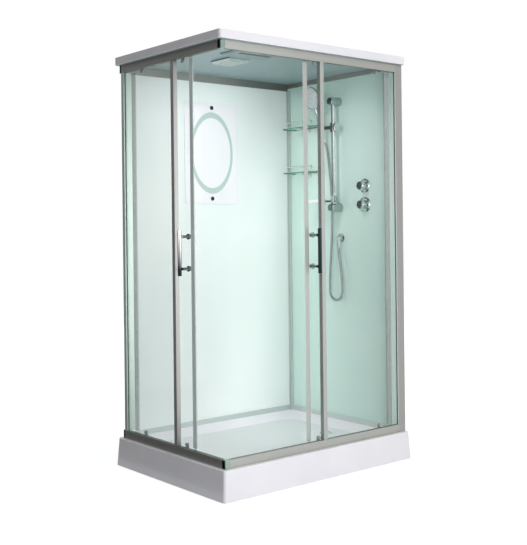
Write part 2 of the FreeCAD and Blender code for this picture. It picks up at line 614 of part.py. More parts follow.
# Fixed panes and the profiles on their free edges
pane_low = "(tray_height + rail_height - slot_depth + slot_play)"
pane_high = f"({frame_top} - rail_height + slot_depth - slot_play)"
pane_depth = "(0.5 * rail_box - 0.5 * pane_thick)"
front_start = f"({left_face} + front_opening)"
left_start = f"({front_face} + left_opening)"
pane = new_body("fixed_glass_front", y=f"{front_face} + {pane_depth}")
pad(pane, outline(pane, "XZ_Plane", rectangle(
    f"{front_start} + edge_width - edge_slot + slot_play", f"{post_x} + slot_depth - slot_play",
    pane_low, pane_high)), "pane_thick", back=True)
keep(pane)
pane = new_body("fixed_glass_left", x=f"{left_face} + {pane_depth}")
pad(pane, outline(pane, "YZ_Plane", rectangle(
    f"{left_start} + edge_width - edge_slot + slot_play", f"{wall_y} - rear_post + post_slot - slot_play",
    pane_low, pane_high)), "pane_thick")
keep(pane)
edge_near = f"({slot_near} - edge_start)"
edge_far = f"({slot_far} - edge_start)"
edge_profile = [("0", "0"), ("edge_width", "0"), ("edge_width", edge_near),
                ("edge_width - edge_slot", edge_near), ("edge_width - edge_slot", edge_far),
                ("edge_width", edge_far), ("edge_width", "edge_depth"), ("0", "edge_depth")]
strip_foot = "tray_height + rail_height"
front_edge_strip = new_body("front_edge", front_start, f"{front_face} + edge_start", strip_foot)
pad(front_edge_strip, outline(front_edge_strip, "XY_Plane", edge_profile), "wall_height - 2 * rail_height")
left_edge_strip = new_body("left_edge", f"{left_face} + edge_start", left_start, strip_foot)
pad(left_edge_strip, outline(left_edge_strip, "XY_Plane", [(v, u) for u, v in edge_profile]),
    "wall_height - 2 * rail_height")
keep(group("fixed_edge_profiles", front_edge_strip, left_edge_strip))

# Sliding doors: both are drawn from their leading tip, with depth measured from the rail's face
glass_back = "(door_depth + door_glass)"
lead_low = "(tray_height + rail_height + lead_rise)"
lead_length = "(wall_height - 2 * rail_height - 2 * lead_rise)"
axle_rise = "(lip_height - rail_flange - wheel_play - wheel_radius)"
wheel_start = "(rail_depth - rail_flange - 2 * wheel_play - wheel_width)"
plate_start = f"({glass_back} + plate_gap)"
bolt_levels = ("(bar_level - 0.5 * bolt_pitch)", "(bar_level + 0.5 * bolt_pitch)")


class Side:
    """One open side of the cabin: where its door's tip is and which way depth runs."""

    def __init__(self, name, plane, depth_sign, tip, depth_axis):
        self.name = name
        self.plane = plane
        self.depth_sign = depth_sign
        self.tip = tip
        self.depth_axis = depth_axis

    def body(self, label):
        return new_body(label, *self.tip)

    def plan(self, corners):
        """Corners of run and depth in the order of the body's X and Y."""
        return corners if self.name == "front" else [(depth, run) for run, depth in corners]

    def level(self, depth):
        return f"{self.depth_sign} * ({depth})"

    def slab(self, body, corners, depth, thick):
        """Pad an upright outline of run and height inward from a depth."""
        sketch = outline(body, self.plane, corners, level=self.level(depth))
        return pad(body, sketch, thick, back=self.depth_sign < 0)

    def disc(self, body, run, height, radius, depth, thick):
        """Pad a round inward from a depth."""
        sketch = rounds(body, self.plane, (run, height, radius), level=self.level(depth))
        return pad(body, sketch, thick, back=self.depth_sign < 0)


front_tip = (f"{front_shut} + front_travel", front_face, "0")
left_tip = (left_face, f"{left_shut} + left_travel", "0")
front = Side("front", "XZ_Plane", -1, front_tip, Y_AXIS)
left = Side("left", "YZ_Plane", 1, left_tip, X_AXIS)

for side in (front, left):
    span = f"{side.name}_door"
    rollers = (f"{side.name}_roller_a", f"{side.name}_roller_b")
    handle_run = f"{side.name}_handle"
    tracks = (("bottom", "tray_height", 1), ("top", frame_top, -1))

    # Door pane with holes for the roller carriers and the handle
    glass = side.body(f"{side.name}_door_glass")
    side.slab(glass, rectangle("seal_width + lead_width - lead_slot + slot_play", f"{span} - trail_wall",
                               glass_low, glass_high), "door_depth", "door_glass")
    holes = [(run, f"{level} + {up} * boss_height", "boss_radius + bolt_play")
             for run in rollers for _, level, up in tracks]
    holes += [(handle_run, level, "bolt_radius + bolt_play") for level in bolt_levels]
    pocket(glass, rounds(glass, side.plane, *holes))
    keep(glass)

    # Leading profile, cut at 45 degrees so that the doors meet on the corner's diagonal
    lead = side.body(f"{side.name}_door_leading_profile")
    lead_run = "(seal_width + lead_width)"
    lead_plan = [("seal_width", "0"), (lead_run, "0"), (lead_run, f"door_depth - {lead_start}"),
                 (f"{lead_run} - lead_slot", f"door_depth - {lead_start}"),
                 (f"{lead_run} - lead_slot", f"{glass_back} - {lead_start}"),
                 (lead_run, f"{glass_back} - {lead_start}"), (lead_run, "lead_depth"),
                 ("seal_width + lead_depth", "lead_depth")]
    lead_plan = [(run, f"{depth} + {lead_start}") for run, depth in lead_plan]
    pad(lead, outline(lead, "XY_Plane", side.plan(lead_plan), level=lead_low), lead_length)
    keep(lead)

    # Magnetic strip on the mitred face, and the clear strip on the trailing edge
    seal = side.body("magnet_strip")
    seal_plan = [("0", lead_start), ("seal_width", lead_start),
                 ("seal_width + lead_depth", f"{lead_start} + lead_depth"),
                 ("lead_depth", f"{lead_start} + lead_depth")]
    pad(seal, outline(seal, "XY_Plane", side.plan(seal_plan), level=lead_low), lead_length)
    trail = side.body("trailing_strip")
    trail_in = f"{span} - trail_width"
    trail_plan = [(trail_in, "door_depth - trail_wall"), (span, "door_depth - trail_wall"),
                  (span, f"{glass_back} + trail_wall"), (trail_in, f"{glass_back} + trail_wall"),
                  (trail_in, glass_back), (f"{span} - trail_wall", glass_back),
                  (f"{span} - trail_wall", "door_depth"), (trail_in, "door_depth")]
    pad(trail, outline(trail, "XY_Plane", side.plan(trail_plan), level=lead_low), lead_length)
    keep(group(f"{side.name}_door_seals", seal, trail))

    # Bar handle bolted through the pane
    handle = side.body(f"{side.name}_door_handle")
    bar_depth = "(door_depth - bar_off - bar_radius)"
    bar_spot = side.plan([(handle_run, bar_depth)])[0]
    pad(handle, rounds(handle, "XY_Plane", (*bar_spot, "bar_radius"),
                       level="bar_level - 0.5 * bar_length"), "bar_length")
    ease(handle, "Fillet", "bar_round", lambda edge: edge.Curve.TypeId == "Part::GeomCircle")
    for level in bolt_levels:
        for radius, start, thick in (("standoff_radius", bar_depth, "bar_off + bar_radius"),
                                     ("washer_radius", "door_depth - washer_thick", "washer_thick"),
                                     ("bolt_radius", "door_depth", "door_glass"),
                                     ("nut_cap_radius", glass_back, "nut_cap_thick")):
            side.disc(handle, handle_run, level, radius, start, thick)
    keep(handle)

    # Roller carriers, each with a boss through the pane and a stub axle, and the rollers on them
    carriers = []
    for where, level, up in tracks:
        for index, run in enumerate(rollers, 1):
            axle = f"({level} + {up} * {axle_rise})"
            boss = f"({level} + {up} * boss_height)"
            ends = (axle, boss) if up > 0 else (boss, axle)
            carrier = side.body("carrier")
            half = "0.5 * plate_width"
            plate = rectangle(f"{run} - {half}", f"{run} + {half}",
                              f"{ends[0]} - plate_tail", f"{ends[1]} + {half}")
            side.slab(carrier, plate, plate_start, "plate_thick")
            ease(carrier, "Fillet", "plate_round", lambda edge: along(edge, side.depth_axis))
            plate_back = f"({plate_start} + plate_thick)"
            axle_end = f"({wheel_start} + wheel_width + wheel_play)"
            for height, radius, start, thick in (
                    (boss, "head_radius", glass_back, "plate_gap"),
                    (boss, "boss_radius", "door_depth", "door_glass"),
                    (boss, "head_radius", "door_depth - head_thick", "head_thick"),
                    (axle, "shoulder_radius", plate_back, f"{wheel_start} - wheel_play - {plate_back}"),
                    (axle, "axle_radius", plate_back, f"{axle_end} - {plate_back}")):
                side.disc(carrier, run, height, radius, start, thick)
            carriers.append(carrier)
            roller = side.body(f"{side.name}_{where}_roller_{index}")
            side.disc(roller, run, axle, "wheel_radius", wheel_start, "wheel_width")
            ease(roller, "Chamfer", "wheel_ease", lambda edge: True)
            pocket(roller, rounds(roller, side.plane, (run, axle, "axle_radius + axle_play")))
            keep(roller)
    keep(group(f"{side.name}_door_carriers", *carriers))

# Roof: a moulded lid with a fascia all round and an open top
roof = new_body("roof", z=frame_top)
pad(roof, rounded(roof, "XY_Plane", left_edge, right_edge, front_edge, back_edge, "tray_corner"),
    "fascia_height")
ease(roof, "Fillet", "roof_round", lambda edge: lies(edge, "z", "0"))


def roof_inset(inset, level):
    sides = rectangle(f"{left_edge} + {inset}", f"{right_edge} - {inset}",
                      f"{front_edge} + {inset}", f"{back_edge} - {inset}")
    return outline(roof, "XY_Plane", sides, level=level)


pocket(roof, roof_inset("roof_flange", "fascia_height"), "roof_skin")
pocket(roof, roof_inset("fascia_wall", "fascia_height - roof_skin"), "fascia_height - 2 * roof_skin")
pocket(roof, rounds(roof, "XY_Plane", ("overhead_x", "overhead_y", "supply_radius + neck_play"),
                    level="roof_skin"), "roof_skin")
vent_hole = rectangle("vent_x - 0.5 * duct_length", "vent_x + 0.5 * duct_length",
                      "vent_y - 0.5 * duct_width", "vent_y + 0.5 * duct_width")
pocket(roof, outline(roof, "XY_Plane", vent_hole, level="roof_skin"), "roof_skin")
keep(roof)

# Vent cover: a bevelled panel under the ceiling with a row of slots
vent = new_body("vent_cover", "vent_x", "vent_y", f"{frame_top} - vent_drop")
pad(vent, outline(vent, "XY_Plane", rectangle("-0.5 * vent_length", "0.5 * vent_length",
                                              "-0.5 * vent_width", "0.5 * vent_width")), "vent_drop")
ease(vent, "Chamfer", "vent_bevel", lambda edge: lies(edge, "z", "0"))
row_start = "(-0.5 * vent_pitch * (vent_count - 1) - 0.5 * vent_slot)"
slot = pocket(vent, outline(vent, "XY_Plane", rectangle(
    row_start, f"{row_start} + vent_slot", "-0.5 * vent_slot_length", "0.5 * vent_slot_length")))
row_of_slots = vent.newObject("PartDesign::LinearPattern", "slots")
row_of_slots.Originals = [slot]
row_of_slots.Direction = (slot.Profile[0], ["H_Axis"])
bind(row_of_slots, Length="vent_pitch * (vent_count - 1)", Occurrences="vent_count")
vent.Tip = row_of_slots
keep(vent)

# Overhead shower: a bevelled square head under the ceiling with its supply stub
overhead = new_body("overhead_shower", "overhead_x", "overhead_y", f"{frame_top} - overhead_drop")
pad(overhead, outline(overhead, "XY_Plane", rectangle(
    "-0.5 * overhead_length", "0.5 * overhead_length",
    "-0.5 * overhead_width", "0.5 * overhead_width")), "overhead_drop")
ease(overhead, "Chamfer", "overhead_bevel", lambda edge: lies(edge, "z", "0"))
pad(overhead, rounds(overhead, "XY_Plane", ("0", "0", "supply_radius"), level="overhead_drop"), "supply_rise")
keep(overhead)

# Mirror on the back wall, held by two capped pins
mirror = new_body("mirror", y=f"{wall_y} - mirror_thick")
pad(mirror, rounded(mirror, "XZ_Plane", "mirror_x - 0.5 * mirror_width", "mirror_x + 0.5 * mirror_width",
                    "mirror_low", "mirror_high", "mirror_round"), "mirror_thick", back=True)
pocket(mirror, rounds(mirror, "XZ_Plane", *[
    ("mirror_x", level, "pin_radius + slot_play") for level in cap_levels]))
keep(mirror)
caps = []
for level in cap_levels:
    cap = new_body("mirror_cap", "mirror_x", f"{wall_y} - mirror_thick", level, OFF_BACK_WALL)
    tail = "(0 - mirror_thick - wall_thick - pin_tail)"
    revolve(cap, ("0", tail), ("pin_radius", tail), ("pin_radius", "0"), ("cap_radius", "0"),
            ("cap_radius", "cap_edge"), ("cap_radius - cap_ease", "cap_thick"), ("0", "cap_thick"))
    caps.append(cap)
keep(group("mirror_caps", *caps))


# Tubes along straight runs that are joined by tangent arcs
def tube(points, radii, radius):
    """A round bar along points, with the given bend at each inner point."""
    edges = []
    start = points[0]
    for before, corner, after, bend in zip(points, points[1:], points[2:], radii):
        arriving = (corner - before).normalize()
        leaving = (after - corner).normalize()
        turn = arriving.getAngle(leaving)
        setback = bend * math.tan(turn / 2)
        enter = corner - arriving * setback
        leave = corner + leaving * setback
        inward = (leaving - arriving).normalize()
        middle = corner + inward * (bend / math.cos(turn / 2) - bend)
        edges.append(Part.LineSegment(start, enter).toShape())
        edges.append(Part.Arc(enter, middle, leave).toShape())
        start = leave
    edges.append(Part.LineSegment(start, points[-1]).toShape())
    path = Part.Wire(edges)
    section = Part.Wire(Part.Circle(points[0], points[1] - points[0], radius).toShape())
    solid = path.makePipeShell([section], True, False)
    if abs(solid.Volume / (math.pi * radius ** 2 * path.Length) - 1) > 0.01:
        raise ValueError("A tube's volume doesn't match its length")
    return solid


# Glass shelves on the right wall, each with a gallery rail and a bracket under it
shelves = []
fittings = []
shelf_front = f"({wall_x} - shelf_depth)"
for top in ("upper_shelf", "lower_shelf"):
    shelf = new_body("glass_shelf", z=f"{top} - shelf_thick")
    pad(shelf, outline(shelf, "XY_Plane", rectangle(shelf_front, wall_x, "shelf_near", "shelf_far")),
        "shelf_thick")
    ease(shelf, "Fillet", "shelf_round", lambda edge: along(edge, Z_AXIS) and lies(edge, "x", shelf_front))
    shelves.append(shelf)
    gallery = doc.addObject("Part::Feature", "gallery_rail")
    rail_x = number(f"{shelf_front} + gallery_inset")
    feet_and_bends = [("gallery_near", top), ("gallery_near", f"{top} + gallery_rise"),
                      ("gallery_far", f"{top} + gallery_rise"), ("gallery_far", top)]
    spots = [FreeCAD.Vector(rail_x, number(y), number(z)) for y, z in feet_and_bends]
    gallery.Shape = tube(spots, [number("gallery_bend")] * 2, number("gallery_radius"))
    bracket = new_body("shelf_bracket", y="bracket_y")
    under = f"({top} - shelf_thick)"
    pad(bracket, outline(bracket, "XZ_Plane", [
        (wall_x, under), (f"{wall_x} - bracket_reach", under),
        (f"{wall_x} - bracket_reach", f"{under} - bracket_tip"),
        (f"{wall_x} - bracket_plate", f"{under} - bracket_root"),
        (f"{wall_x} - bracket_plate", f"{under} - bracket_foot"), (wall_x, f"{under} - bracket_foot")]),
        "bracket_width", both=True)
    fittings += [gallery, bracket]
keep(group("glass_shelves", *shelves), group("shelf_fittings", *fittings))

# Slide bar between two round wall brackets
slide_x = f"({wall_x} - slide_off)"
bar = cylinder("slide_radius", "slide_high - slide_low + 2 * slide_bite", slide_x, "slide_y",
               "slide_low - slide_bite")
bar.Label = "slide_bar"
keep(bar)
clamps = []
for level, end in (("slide_low", -1), ("slide_high", 1)):
    clamp = new_body("bar_bracket", wall_x, "slide_y", level, OFF_RIGHT_WALL)
    nose = "(slide_off + clamp_nose)"
    tail = "(0 - wall_thick - stud_tail)"
    revolve(clamp, ("0", tail), ("stud_radius", tail), ("stud_radius", "0"), ("clamp_radius", "0"),
            ("nose_radius", f"{nose} - clamp_round"),
            ("nose_radius - clamp_crown", f"{nose} - clamp_crown"),
            ("nose_radius - clamp_round", nose), ("0", nose))
    pocket(clamp, rounds(clamp, "YZ_Plane", ("0", "slide_off", "slide_radius + fit_play"),
                         level=f"{end} * slide_bite"), "2 * clamp_radius", back=end < 0)
    clamps.append(clamp)
keep(group("slide_bar_brackets", *clamps))

# Soap dish: a shallow tray on an arm, clamped round the bar
dish = new_body("soap_dish", slide_x, z="dish_level")
dish_out = "(0 - dish_reach)"
dish_in = "(dish_width - dish_reach)"
dish_far = "(dish_near + dish_length)"
pad(dish, rounded(dish, "XY_Plane", dish_out, dish_in, "dish_near", dish_far, "dish_round"), "dish_depth")
pad(dish, outline(dish, "XY_Plane", [
    ("-0.5 * dish_arm", "slide_y"), ("0.5 * dish_arm", "slide_y"), (dish_in, "dish_near + dish_round"),
    (f"{dish_in} - dish_arm", "dish_near + 0.5 * dish_round")]), "dish_arm_thick")
pad(dish, rounds(dish, "XY_Plane", ("0", "slide_y", "dish_clamp")), "dish_clamp_height")
pocket(dish, rounded(dish, "XY_Plane", f"{dish_out} + dish_wall", f"{dish_in} - dish_wall",
                     "dish_near + dish_wall", f"{dish_far} - dish_wall", "(dish_round - dish_wall)",
                     level="dish_depth"), "dish_depth - dish_wall")
pocket(dish, rounds(dish, "XY_Plane", ("0", "slide_y", "slide_radius + fit_play")))
keep(dish)

# Wall outlet: a disc on the wall, an elbow turning down, and the hose's lower nut
elbow = new_body("wall_outlet_elbow", wall_x, "outlet_y", "outlet_level", OFF_RIGHT_WALL)
tail = "(0 - wall_thick - nipple_tail)"
elbow_end = "(outlet_off + outlet_radius)"
revolve(elbow, ("0", tail), ("nipple_radius", tail), ("nipple_radius", "0"), ("outlet_disc", "0"),
        ("outlet_disc", "disc_edge"), ("outlet_radius + elbow_root", "disc_thick"),
        ("outlet_radius + elbow_swell", f"{elbow_end} - elbow_crown"),
        ("outlet_radius - elbow_ease", elbow_end), ("0", elbow_end))
pad(elbow, rounds(elbow, "YZ_Plane", ("0", "outlet_off", "outlet_radius")), "outlet_drop", back=True)
keep(elbow)
hose_end = (f"({wall_x} - outlet_off)", "outlet_y", "(outlet_level - outlet_drop - nut_length)")
nut = new_body("hose_nut_lower", hose_end[0], "outlet_y", "outlet_level - outlet_drop")
revolve(nut, ("0", "0"), ("lower_nut", "0"), ("lower_nut", "nut_taper - nut_length"),
        ("hose_radius + nut_lip", "0 - nut_length"), ("0", "0 - nut_length"))
keep(nut)

# Controls: wall flanges, knobs with finger flutes, and the valve behind the wall
flanges = []
for level, radius in (("mixer_level", "mixer_flange"), ("diverter_level", "diverter_flange")):
    flange = new_body("flange", wall_x, "valve_y", level, OFF_RIGHT_WALL)
    revolve(flange, ("flange_bore", "0"), (radius, "0"), (radius, "flange_edge"),
            (f"{radius} - flange_slope", "flange_thick - flange_fall"),
            (f"{radius} - flange_crown", "flange_thick"), ("flange_bore", "flange_thick"))
    flanges.append(flange)
keep(group("valve_flanges", *flanges))
for label, level, flutes in (("mixer_knob", "mixer_level", "mixer_flutes"),
                             ("diverter_knob", "diverter_level", "diverter_flutes")):
    knob = new_body(label, f"{wall_x} - flange_thick - knob_gap", "valve_y", level, OFF_RIGHT_WALL)
    bore = "spindle_radius + spindle_play"
    revolve(knob, (bore, "0"), ("knob_radius - knob_taper", "0"), ("knob_radius", "knob_foot"),
            ("knob_radius", "knob_depth - knob_crown"),
            ("knob_radius - knob_ease", "knob_depth - knob_drop"),
            ("knob_radius - knob_bevel", "knob_depth"), ("0", "knob_depth"),
            ("0", "spindle_depth + spindle_play"), (bore, "spindle_depth + spindle_play"))
    flute_sketch = rounds(knob, "XY_Plane", ("flute_offset", "0", "flute_radius"))
    flute = pocket(knob, flute_sketch)
    ring = knob.newObject("PartDesign::PolarPattern", "flutes")
    ring.Originals = [flute]
    ring.Axis = (flute_sketch, ["N_Axis"])
    ring.Angle = 360
    bind(ring, Occurrences=flutes)
    knob.Tip = ring
    keep(knob)
behind = f"({wall_x} + wall_thick)"
pipe_x = f"({behind} + 0.5 * valve_depth)"
spindle_reach = "(flange_thick + knob_gap + spindle_depth)"
pipes = []
for level, radius in (("mixer_level", "valve_radius"), ("diverter_level", "diverter_radius")):
    pipes += [cylinder(radius, "valve_depth", behind, "valve_y", level, TOWARDS_WALL),
              cylinder("valve_neck", "wall_thick", wall_x, "valve_y", level, TOWARDS_WALL),
              cylinder("spindle_radius", f"{spindle_reach} + wall_thick", f"{wall_x} - {spindle_reach}",
                       "valve_y", level, TOWARDS_WALL)]
pipes.append(cylinder("link_radius", "diverter_level - mixer_level", pipe_x, "valve_y", "mixer_level"))
pipes.append(cylinder("header_radius", "inlet_spread", pipe_x, "valve_y - 0.5 * inlet_spread",
                      "mixer_level", TOWARDS_REAR))
for run in ("valve_y - 0.5 * inlet_spread", "valve_y + 0.5 * inlet_spread"):
    pipes.append(cylinder("inlet_radius", "inlet_drop", pipe_x, run, "mixer_level - inlet_drop"))
    pipes.append(cylinder("collar_radius", "inlet_collar", pipe_x, run,
                          "mixer_level - 0.5 * inlet_collar"))
pipes.append(cylinder("link_radius", "link_rise", pipe_x, "valve_y", "diverter_level"))
pipes.append(cylinder("link_radius", "link_run", pipe_x, "valve_y", "diverter_level", TOWARDS_REAR))
keep(joined("valve_body", *pipes))

# Slider on the bar: a sleeve, a barrel across it and the pivot of the handset holder
barrel_end = "(slide_y + barrel_reach)"
tail_y = "(slide_y - barrel_tail)"
slider_solid = joined(
    "slider_solid",
    cylinder("sleeve_radius", "sleeve_height", slide_x, "slide_y", "slider_level - 0.5 * sleeve_height"),
    cylinder("barrel_radius", "barrel_reach + barrel_tail", slide_x, tail_y, "slider_level", TOWARDS_REAR),
    cylinder("pivot_radius", "pivot_length", slide_x, barrel_end, "slider_level", TOWARDS_REAR))
slider_bore = joined(
    "slider_bore",
    cylinder("slide_radius + slide_play", "2 * sleeve_height", slide_x, "slide_y",
             "slider_level - sleeve_height"),
    cylinder("screw_radius + axle_play", "barrel_tail", slide_x, tail_y, "slider_level", TOWARDS_REAR))
keep(cut_from("slider", slider_solid, slider_bore))
knob = new_body("slider_knob", slide_x, "slide_y - barrel_tail - knob_gap", "slider_level", OFF_BACK_WALL)
screw = "(slide_radius + slide_play - barrel_tail - knob_gap)"
revolve(knob, ("0", screw), ("screw_radius", screw), ("screw_radius", "0"),
        ("clamp_knob - clamp_knob_foot", "0"),
        ("clamp_knob", "clamp_knob_foot"), ("clamp_knob", "clamp_knob_thick - clamp_knob_ease"),
        ("clamp_knob - clamp_knob_ease", "clamp_knob_thick"), ("0", "clamp_knob_thick"))
keep(knob)

# Hand shower in its tilting holder; both stand in a frame whose Z runs up the handle
lean = FreeCAD.Rotation(Y_AXIS, -number("handset_lean"))
seat = (f"{slide_x} - holder_offset * cos(handset_lean * 1 deg)", "handset_y",
        "slider_level - holder_offset * sin(handset_lean * 1 deg)")
holder = new_body("handset_holder", *seat, lean)
half_holder = "(0.5 * holder_length)"
socket = "(grip_radius + holder_play)"
revolve(holder, (socket, f"0 - {half_holder}"), ("holder_radius - holder_taper", f"0 - {half_holder}"),
        ("holder_radius", f"{half_holder} - holder_band"), ("holder_radius", half_holder),
        (socket, half_holder))
hub_start = f"(handset_y - {barrel_end} - knob_gap)"
pad(holder, rounds(holder, "XZ_Plane", ("holder_offset", "0", "barrel_radius"), level=hub_start),
    f"{hub_start} - {socket}", back=True)
pocket(holder, rounds(holder, "XZ_Plane", ("holder_offset", "0", "pivot_radius + axle_play"),
                      level=hub_start), "pivot_length")
keep(holder)
handset = new_body("handset", *seat, lean)
half_head = "(0.5 * spray_thick)"
pad(handset, rounds(handset, "YZ_Plane", ("0", "head_offset", "spray_radius"), level=f"0 - {half_head}"),
    "spray_thick")
ease(handset, "Fillet", "spray_round", lambda edge: lies(edge, "x", half_head))
pocket(handset, rounds(handset, "YZ_Plane", ("0", "head_offset", "spray_radius - face_rim"),
                       level=f"0 - {half_head}"), "face_recess", back=True)
neck_top = "(head_offset - spray_radius + neck_bury)"
revolve(handset, ("0", "0 - grip_drop"), ("grip_end", "0 - grip_drop"), ("grip_radius", f"0 - {half_holder}"),
        ("grip_radius", half_holder), ("neck_of_grip", f"{neck_top} - neck_length"),
        ("neck_of_grip", neck_top), ("0", neck_top))
keep(handset)
nut = new_body("hose_nut_upper", *seat, lean)
nut_end = "(0 - grip_drop - nut_length)"
revolve(nut, ("0", "0 - grip_drop"), ("nut_radius", "0 - grip_drop"),
        ("nut_radius", f"{nut_end} + nut_taper"), ("hose_radius + nut_lip", nut_end), ("0", nut_end))
keep(nut)

# Hose: a limp tube from the handset down to a loop and up to the wall outlet
HOSE_ROUTE = [
    (535.5, 76, 1634), (536, 70.5, 1600), (535.5, 62.5, 1552), (534.5, 54, 1492), (533.5, 45.5, 1425),
    (532.3, 39.5, 1357), (531, 36.5, 1288), (530, 36.8, 1218), (529, 39.5, 1148), (528, 43.5, 1078),
    (527, 48, 1010), (526, 51, 960), (525, 52, 915), (524.5, 52.4, 868), (524, 52, 824.4),
    (524, 33.7, 799.1), (524, 4, 789.5), (524, -25.7, 799.1), (524, -44, 824.4), (524, -44.4, 862),
    (524.5, -43.5, 905), (525, -44.5, 955), (526, -40, 1000), (527.5, -30, 1035), (528.7, -18, 1055),
    (529, -13, 1072),
]
RUN_SHARE = 0.45
down = lean.multVec(FreeCAD.Vector(0, 0, -1))
seat_point = FreeCAD.Vector(*[number(text) for text in seat])
hose_top = seat_point + down * number("grip_drop + nut_length")
route = [hose_top, hose_top + down * number("nut_length")]
route += [FreeCAD.Vector(*point) for point in HOSE_ROUTE]
route.append(FreeCAD.Vector(*[number(text) for text in hose_end]))
bends = []
for before, corner, after in zip(route, route[1:], route[2:]):
    turn = (corner - before).getAngle(after - corner)
    shorter = min((corner - before).Length, (after - corner).Length)
    bends.append(RUN_SHARE * shorter / math.tan(turn / 2))
print("hose bend radii:", [round(bend) for bend in bends])
hose = doc.addObject("Part::Feature", "shower_hose")
hose.Shape = tube(route, bends, number("hose_radius"))
keep(hose)

# Checks and export
doc.recompute()
for item in doc.Objects:
    if "Invalid" in item.State or "Error" in item.State:
        raise ValueError(f"{item.Label} failed: {item.State}")
os.makedirs("parts", exist_ok=True)
for piece in parts:
    if piece.Shape.isNull() or not piece.Shape.isValid():
        raise ValueError(f"{piece.Label} has no valid shape")
    piece.Shape.exportStep(f"parts/{piece.Label}.step")
print(len(parts), "pieces")
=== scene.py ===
import json
import math

import bpy
import numpy as np
from mathutils import Matrix, Vector


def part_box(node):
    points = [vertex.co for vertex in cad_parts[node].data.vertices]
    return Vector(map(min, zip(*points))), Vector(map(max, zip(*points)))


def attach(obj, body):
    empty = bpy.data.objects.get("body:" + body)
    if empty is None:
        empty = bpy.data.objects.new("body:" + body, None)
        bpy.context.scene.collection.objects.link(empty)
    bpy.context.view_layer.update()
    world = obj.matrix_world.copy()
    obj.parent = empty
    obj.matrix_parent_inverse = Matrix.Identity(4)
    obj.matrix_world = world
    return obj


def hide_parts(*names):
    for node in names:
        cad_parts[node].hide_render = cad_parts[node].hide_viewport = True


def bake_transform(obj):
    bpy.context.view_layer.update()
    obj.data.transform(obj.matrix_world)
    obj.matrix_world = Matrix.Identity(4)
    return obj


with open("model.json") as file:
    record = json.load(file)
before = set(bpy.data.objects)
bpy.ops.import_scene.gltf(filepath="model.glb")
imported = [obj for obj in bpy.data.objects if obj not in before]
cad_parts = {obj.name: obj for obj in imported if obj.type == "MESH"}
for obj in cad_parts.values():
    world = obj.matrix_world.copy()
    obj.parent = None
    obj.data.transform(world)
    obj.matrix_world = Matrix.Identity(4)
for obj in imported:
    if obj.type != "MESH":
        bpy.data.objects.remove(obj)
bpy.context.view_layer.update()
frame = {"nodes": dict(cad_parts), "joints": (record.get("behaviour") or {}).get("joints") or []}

# Shower tray
# A sheet of white cast acrylic, heated and drawn over a mould, with a skirt that hides the frame below.
# The basin floor is pressed with small squares, so that a wet foot keeps its grip.
MM = 0.001
BASIN_DEPTH = 38 * MM
FLOOR_MARGIN = 0.5 * MM
GRIP_PITCH = 15 * MM
GROOVE_SHARE = 0.14
GROOVE_DEPTH = 0.8 * MM
PEEL_SIZE = 6.25 * MM
PEEL_DEPTH = 0.4 * MM
NOISE_SPAN = (0.3, 0.7)
UP = (0.0, 0.0, 1.0)
SQUARE_ENOUGH = 0.9
nodes = frame["nodes"]
basin_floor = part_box("shower_tray")[1].z - BASIN_DEPTH


def tint(code):
    """Linear colour with full alpha from an sRGB hex code."""
    channels = [int(code[place:place + 2], 16) / 255 for place in (1, 3, 5)]
    linear = [c / 12.92 if c <= 0.04045 else ((c + 0.055) / 1.055) ** 2.4 for c in channels]
    return (*linear, 1.0)


def add_node(tree, kind, inputs, **settings):
    """Adds a node to a tree; each input is a value or the output socket that feeds it."""
    made = tree.nodes.new("ShaderNode" + kind)
    for name, value in settings.items():
        setattr(made, name, value)
    for name, value in inputs.items():
        if isinstance(value, bpy.types.NodeSocket):
            tree.links.new(value, made.inputs[name])
        else:
            made.inputs[name].default_value = value
    return made


def new_finish(name):
    """An empty material; gives the material and its node tree."""
    material = bpy.data.materials.new(name)
    material.use_nodes = True
    material.node_tree.nodes.clear()
    return material, material.node_tree


def close_finish(tree, sockets):
    """Ends a material in a principled shader with the given sockets."""
    shader = add_node(tree, "BsdfPrincipled", sockets)
    add_node(tree, "OutputMaterial", {"Surface": shader.outputs["BSDF"]})


def dress(material, *names):
    """Gives CAD nodes a finish through their own material slots."""
    for name in names:
        for place in nodes[name].material_slots:
            place.link = "OBJECT"
            place.material = material


def drift(tree, size, low, high):
    """Soft patches of a given size over the object, spread from a low to a high value; gives the socket."""
    spot = add_node(tree, "TexCoord", {})
    noise = add_node(tree, "TexNoise", {"Vector": spot.outputs["Object"], "Scale": 1 / size, "Detail": 3.0})
    spread = add_node(tree, "MapRange", {
        "Value": noise.outputs["Fac"], "From Min": NOISE_SPAN[0], "From Max": NOISE_SPAN[1],
        "To Min": low, "To Max": high})
    return spread.outputs["Result"]


def mottled(tree, size, first, second):
    """Two tones that run into each other in soft patches of a given size; gives the colour's socket."""
    mixed = add_node(tree, "MixRGB", {
        "Fac": drift(tree, size, 0.0, 1.0), "Color1": tint(first), "Color2": tint(second)})
    return mixed.outputs["Color"]


def facing(tree, direction):
    """How squarely a face looks in a direction, the dot product of its normal with it; gives the socket."""
    spot = add_node(tree, "TexCoord", {})
    turned = add_node(tree, "VectorMath", {0: spot.outputs["Normal"], 1: direction}, operation="DOT_PRODUCT")
    return turned.outputs["Value"]


def acrylic_white(tree):
    """The white of the acrylic that the tray and the roof are drawn from; gives the colour's socket."""
    return mottled(tree, 330 * MM, "#EDECF3", "#F6F5F9")


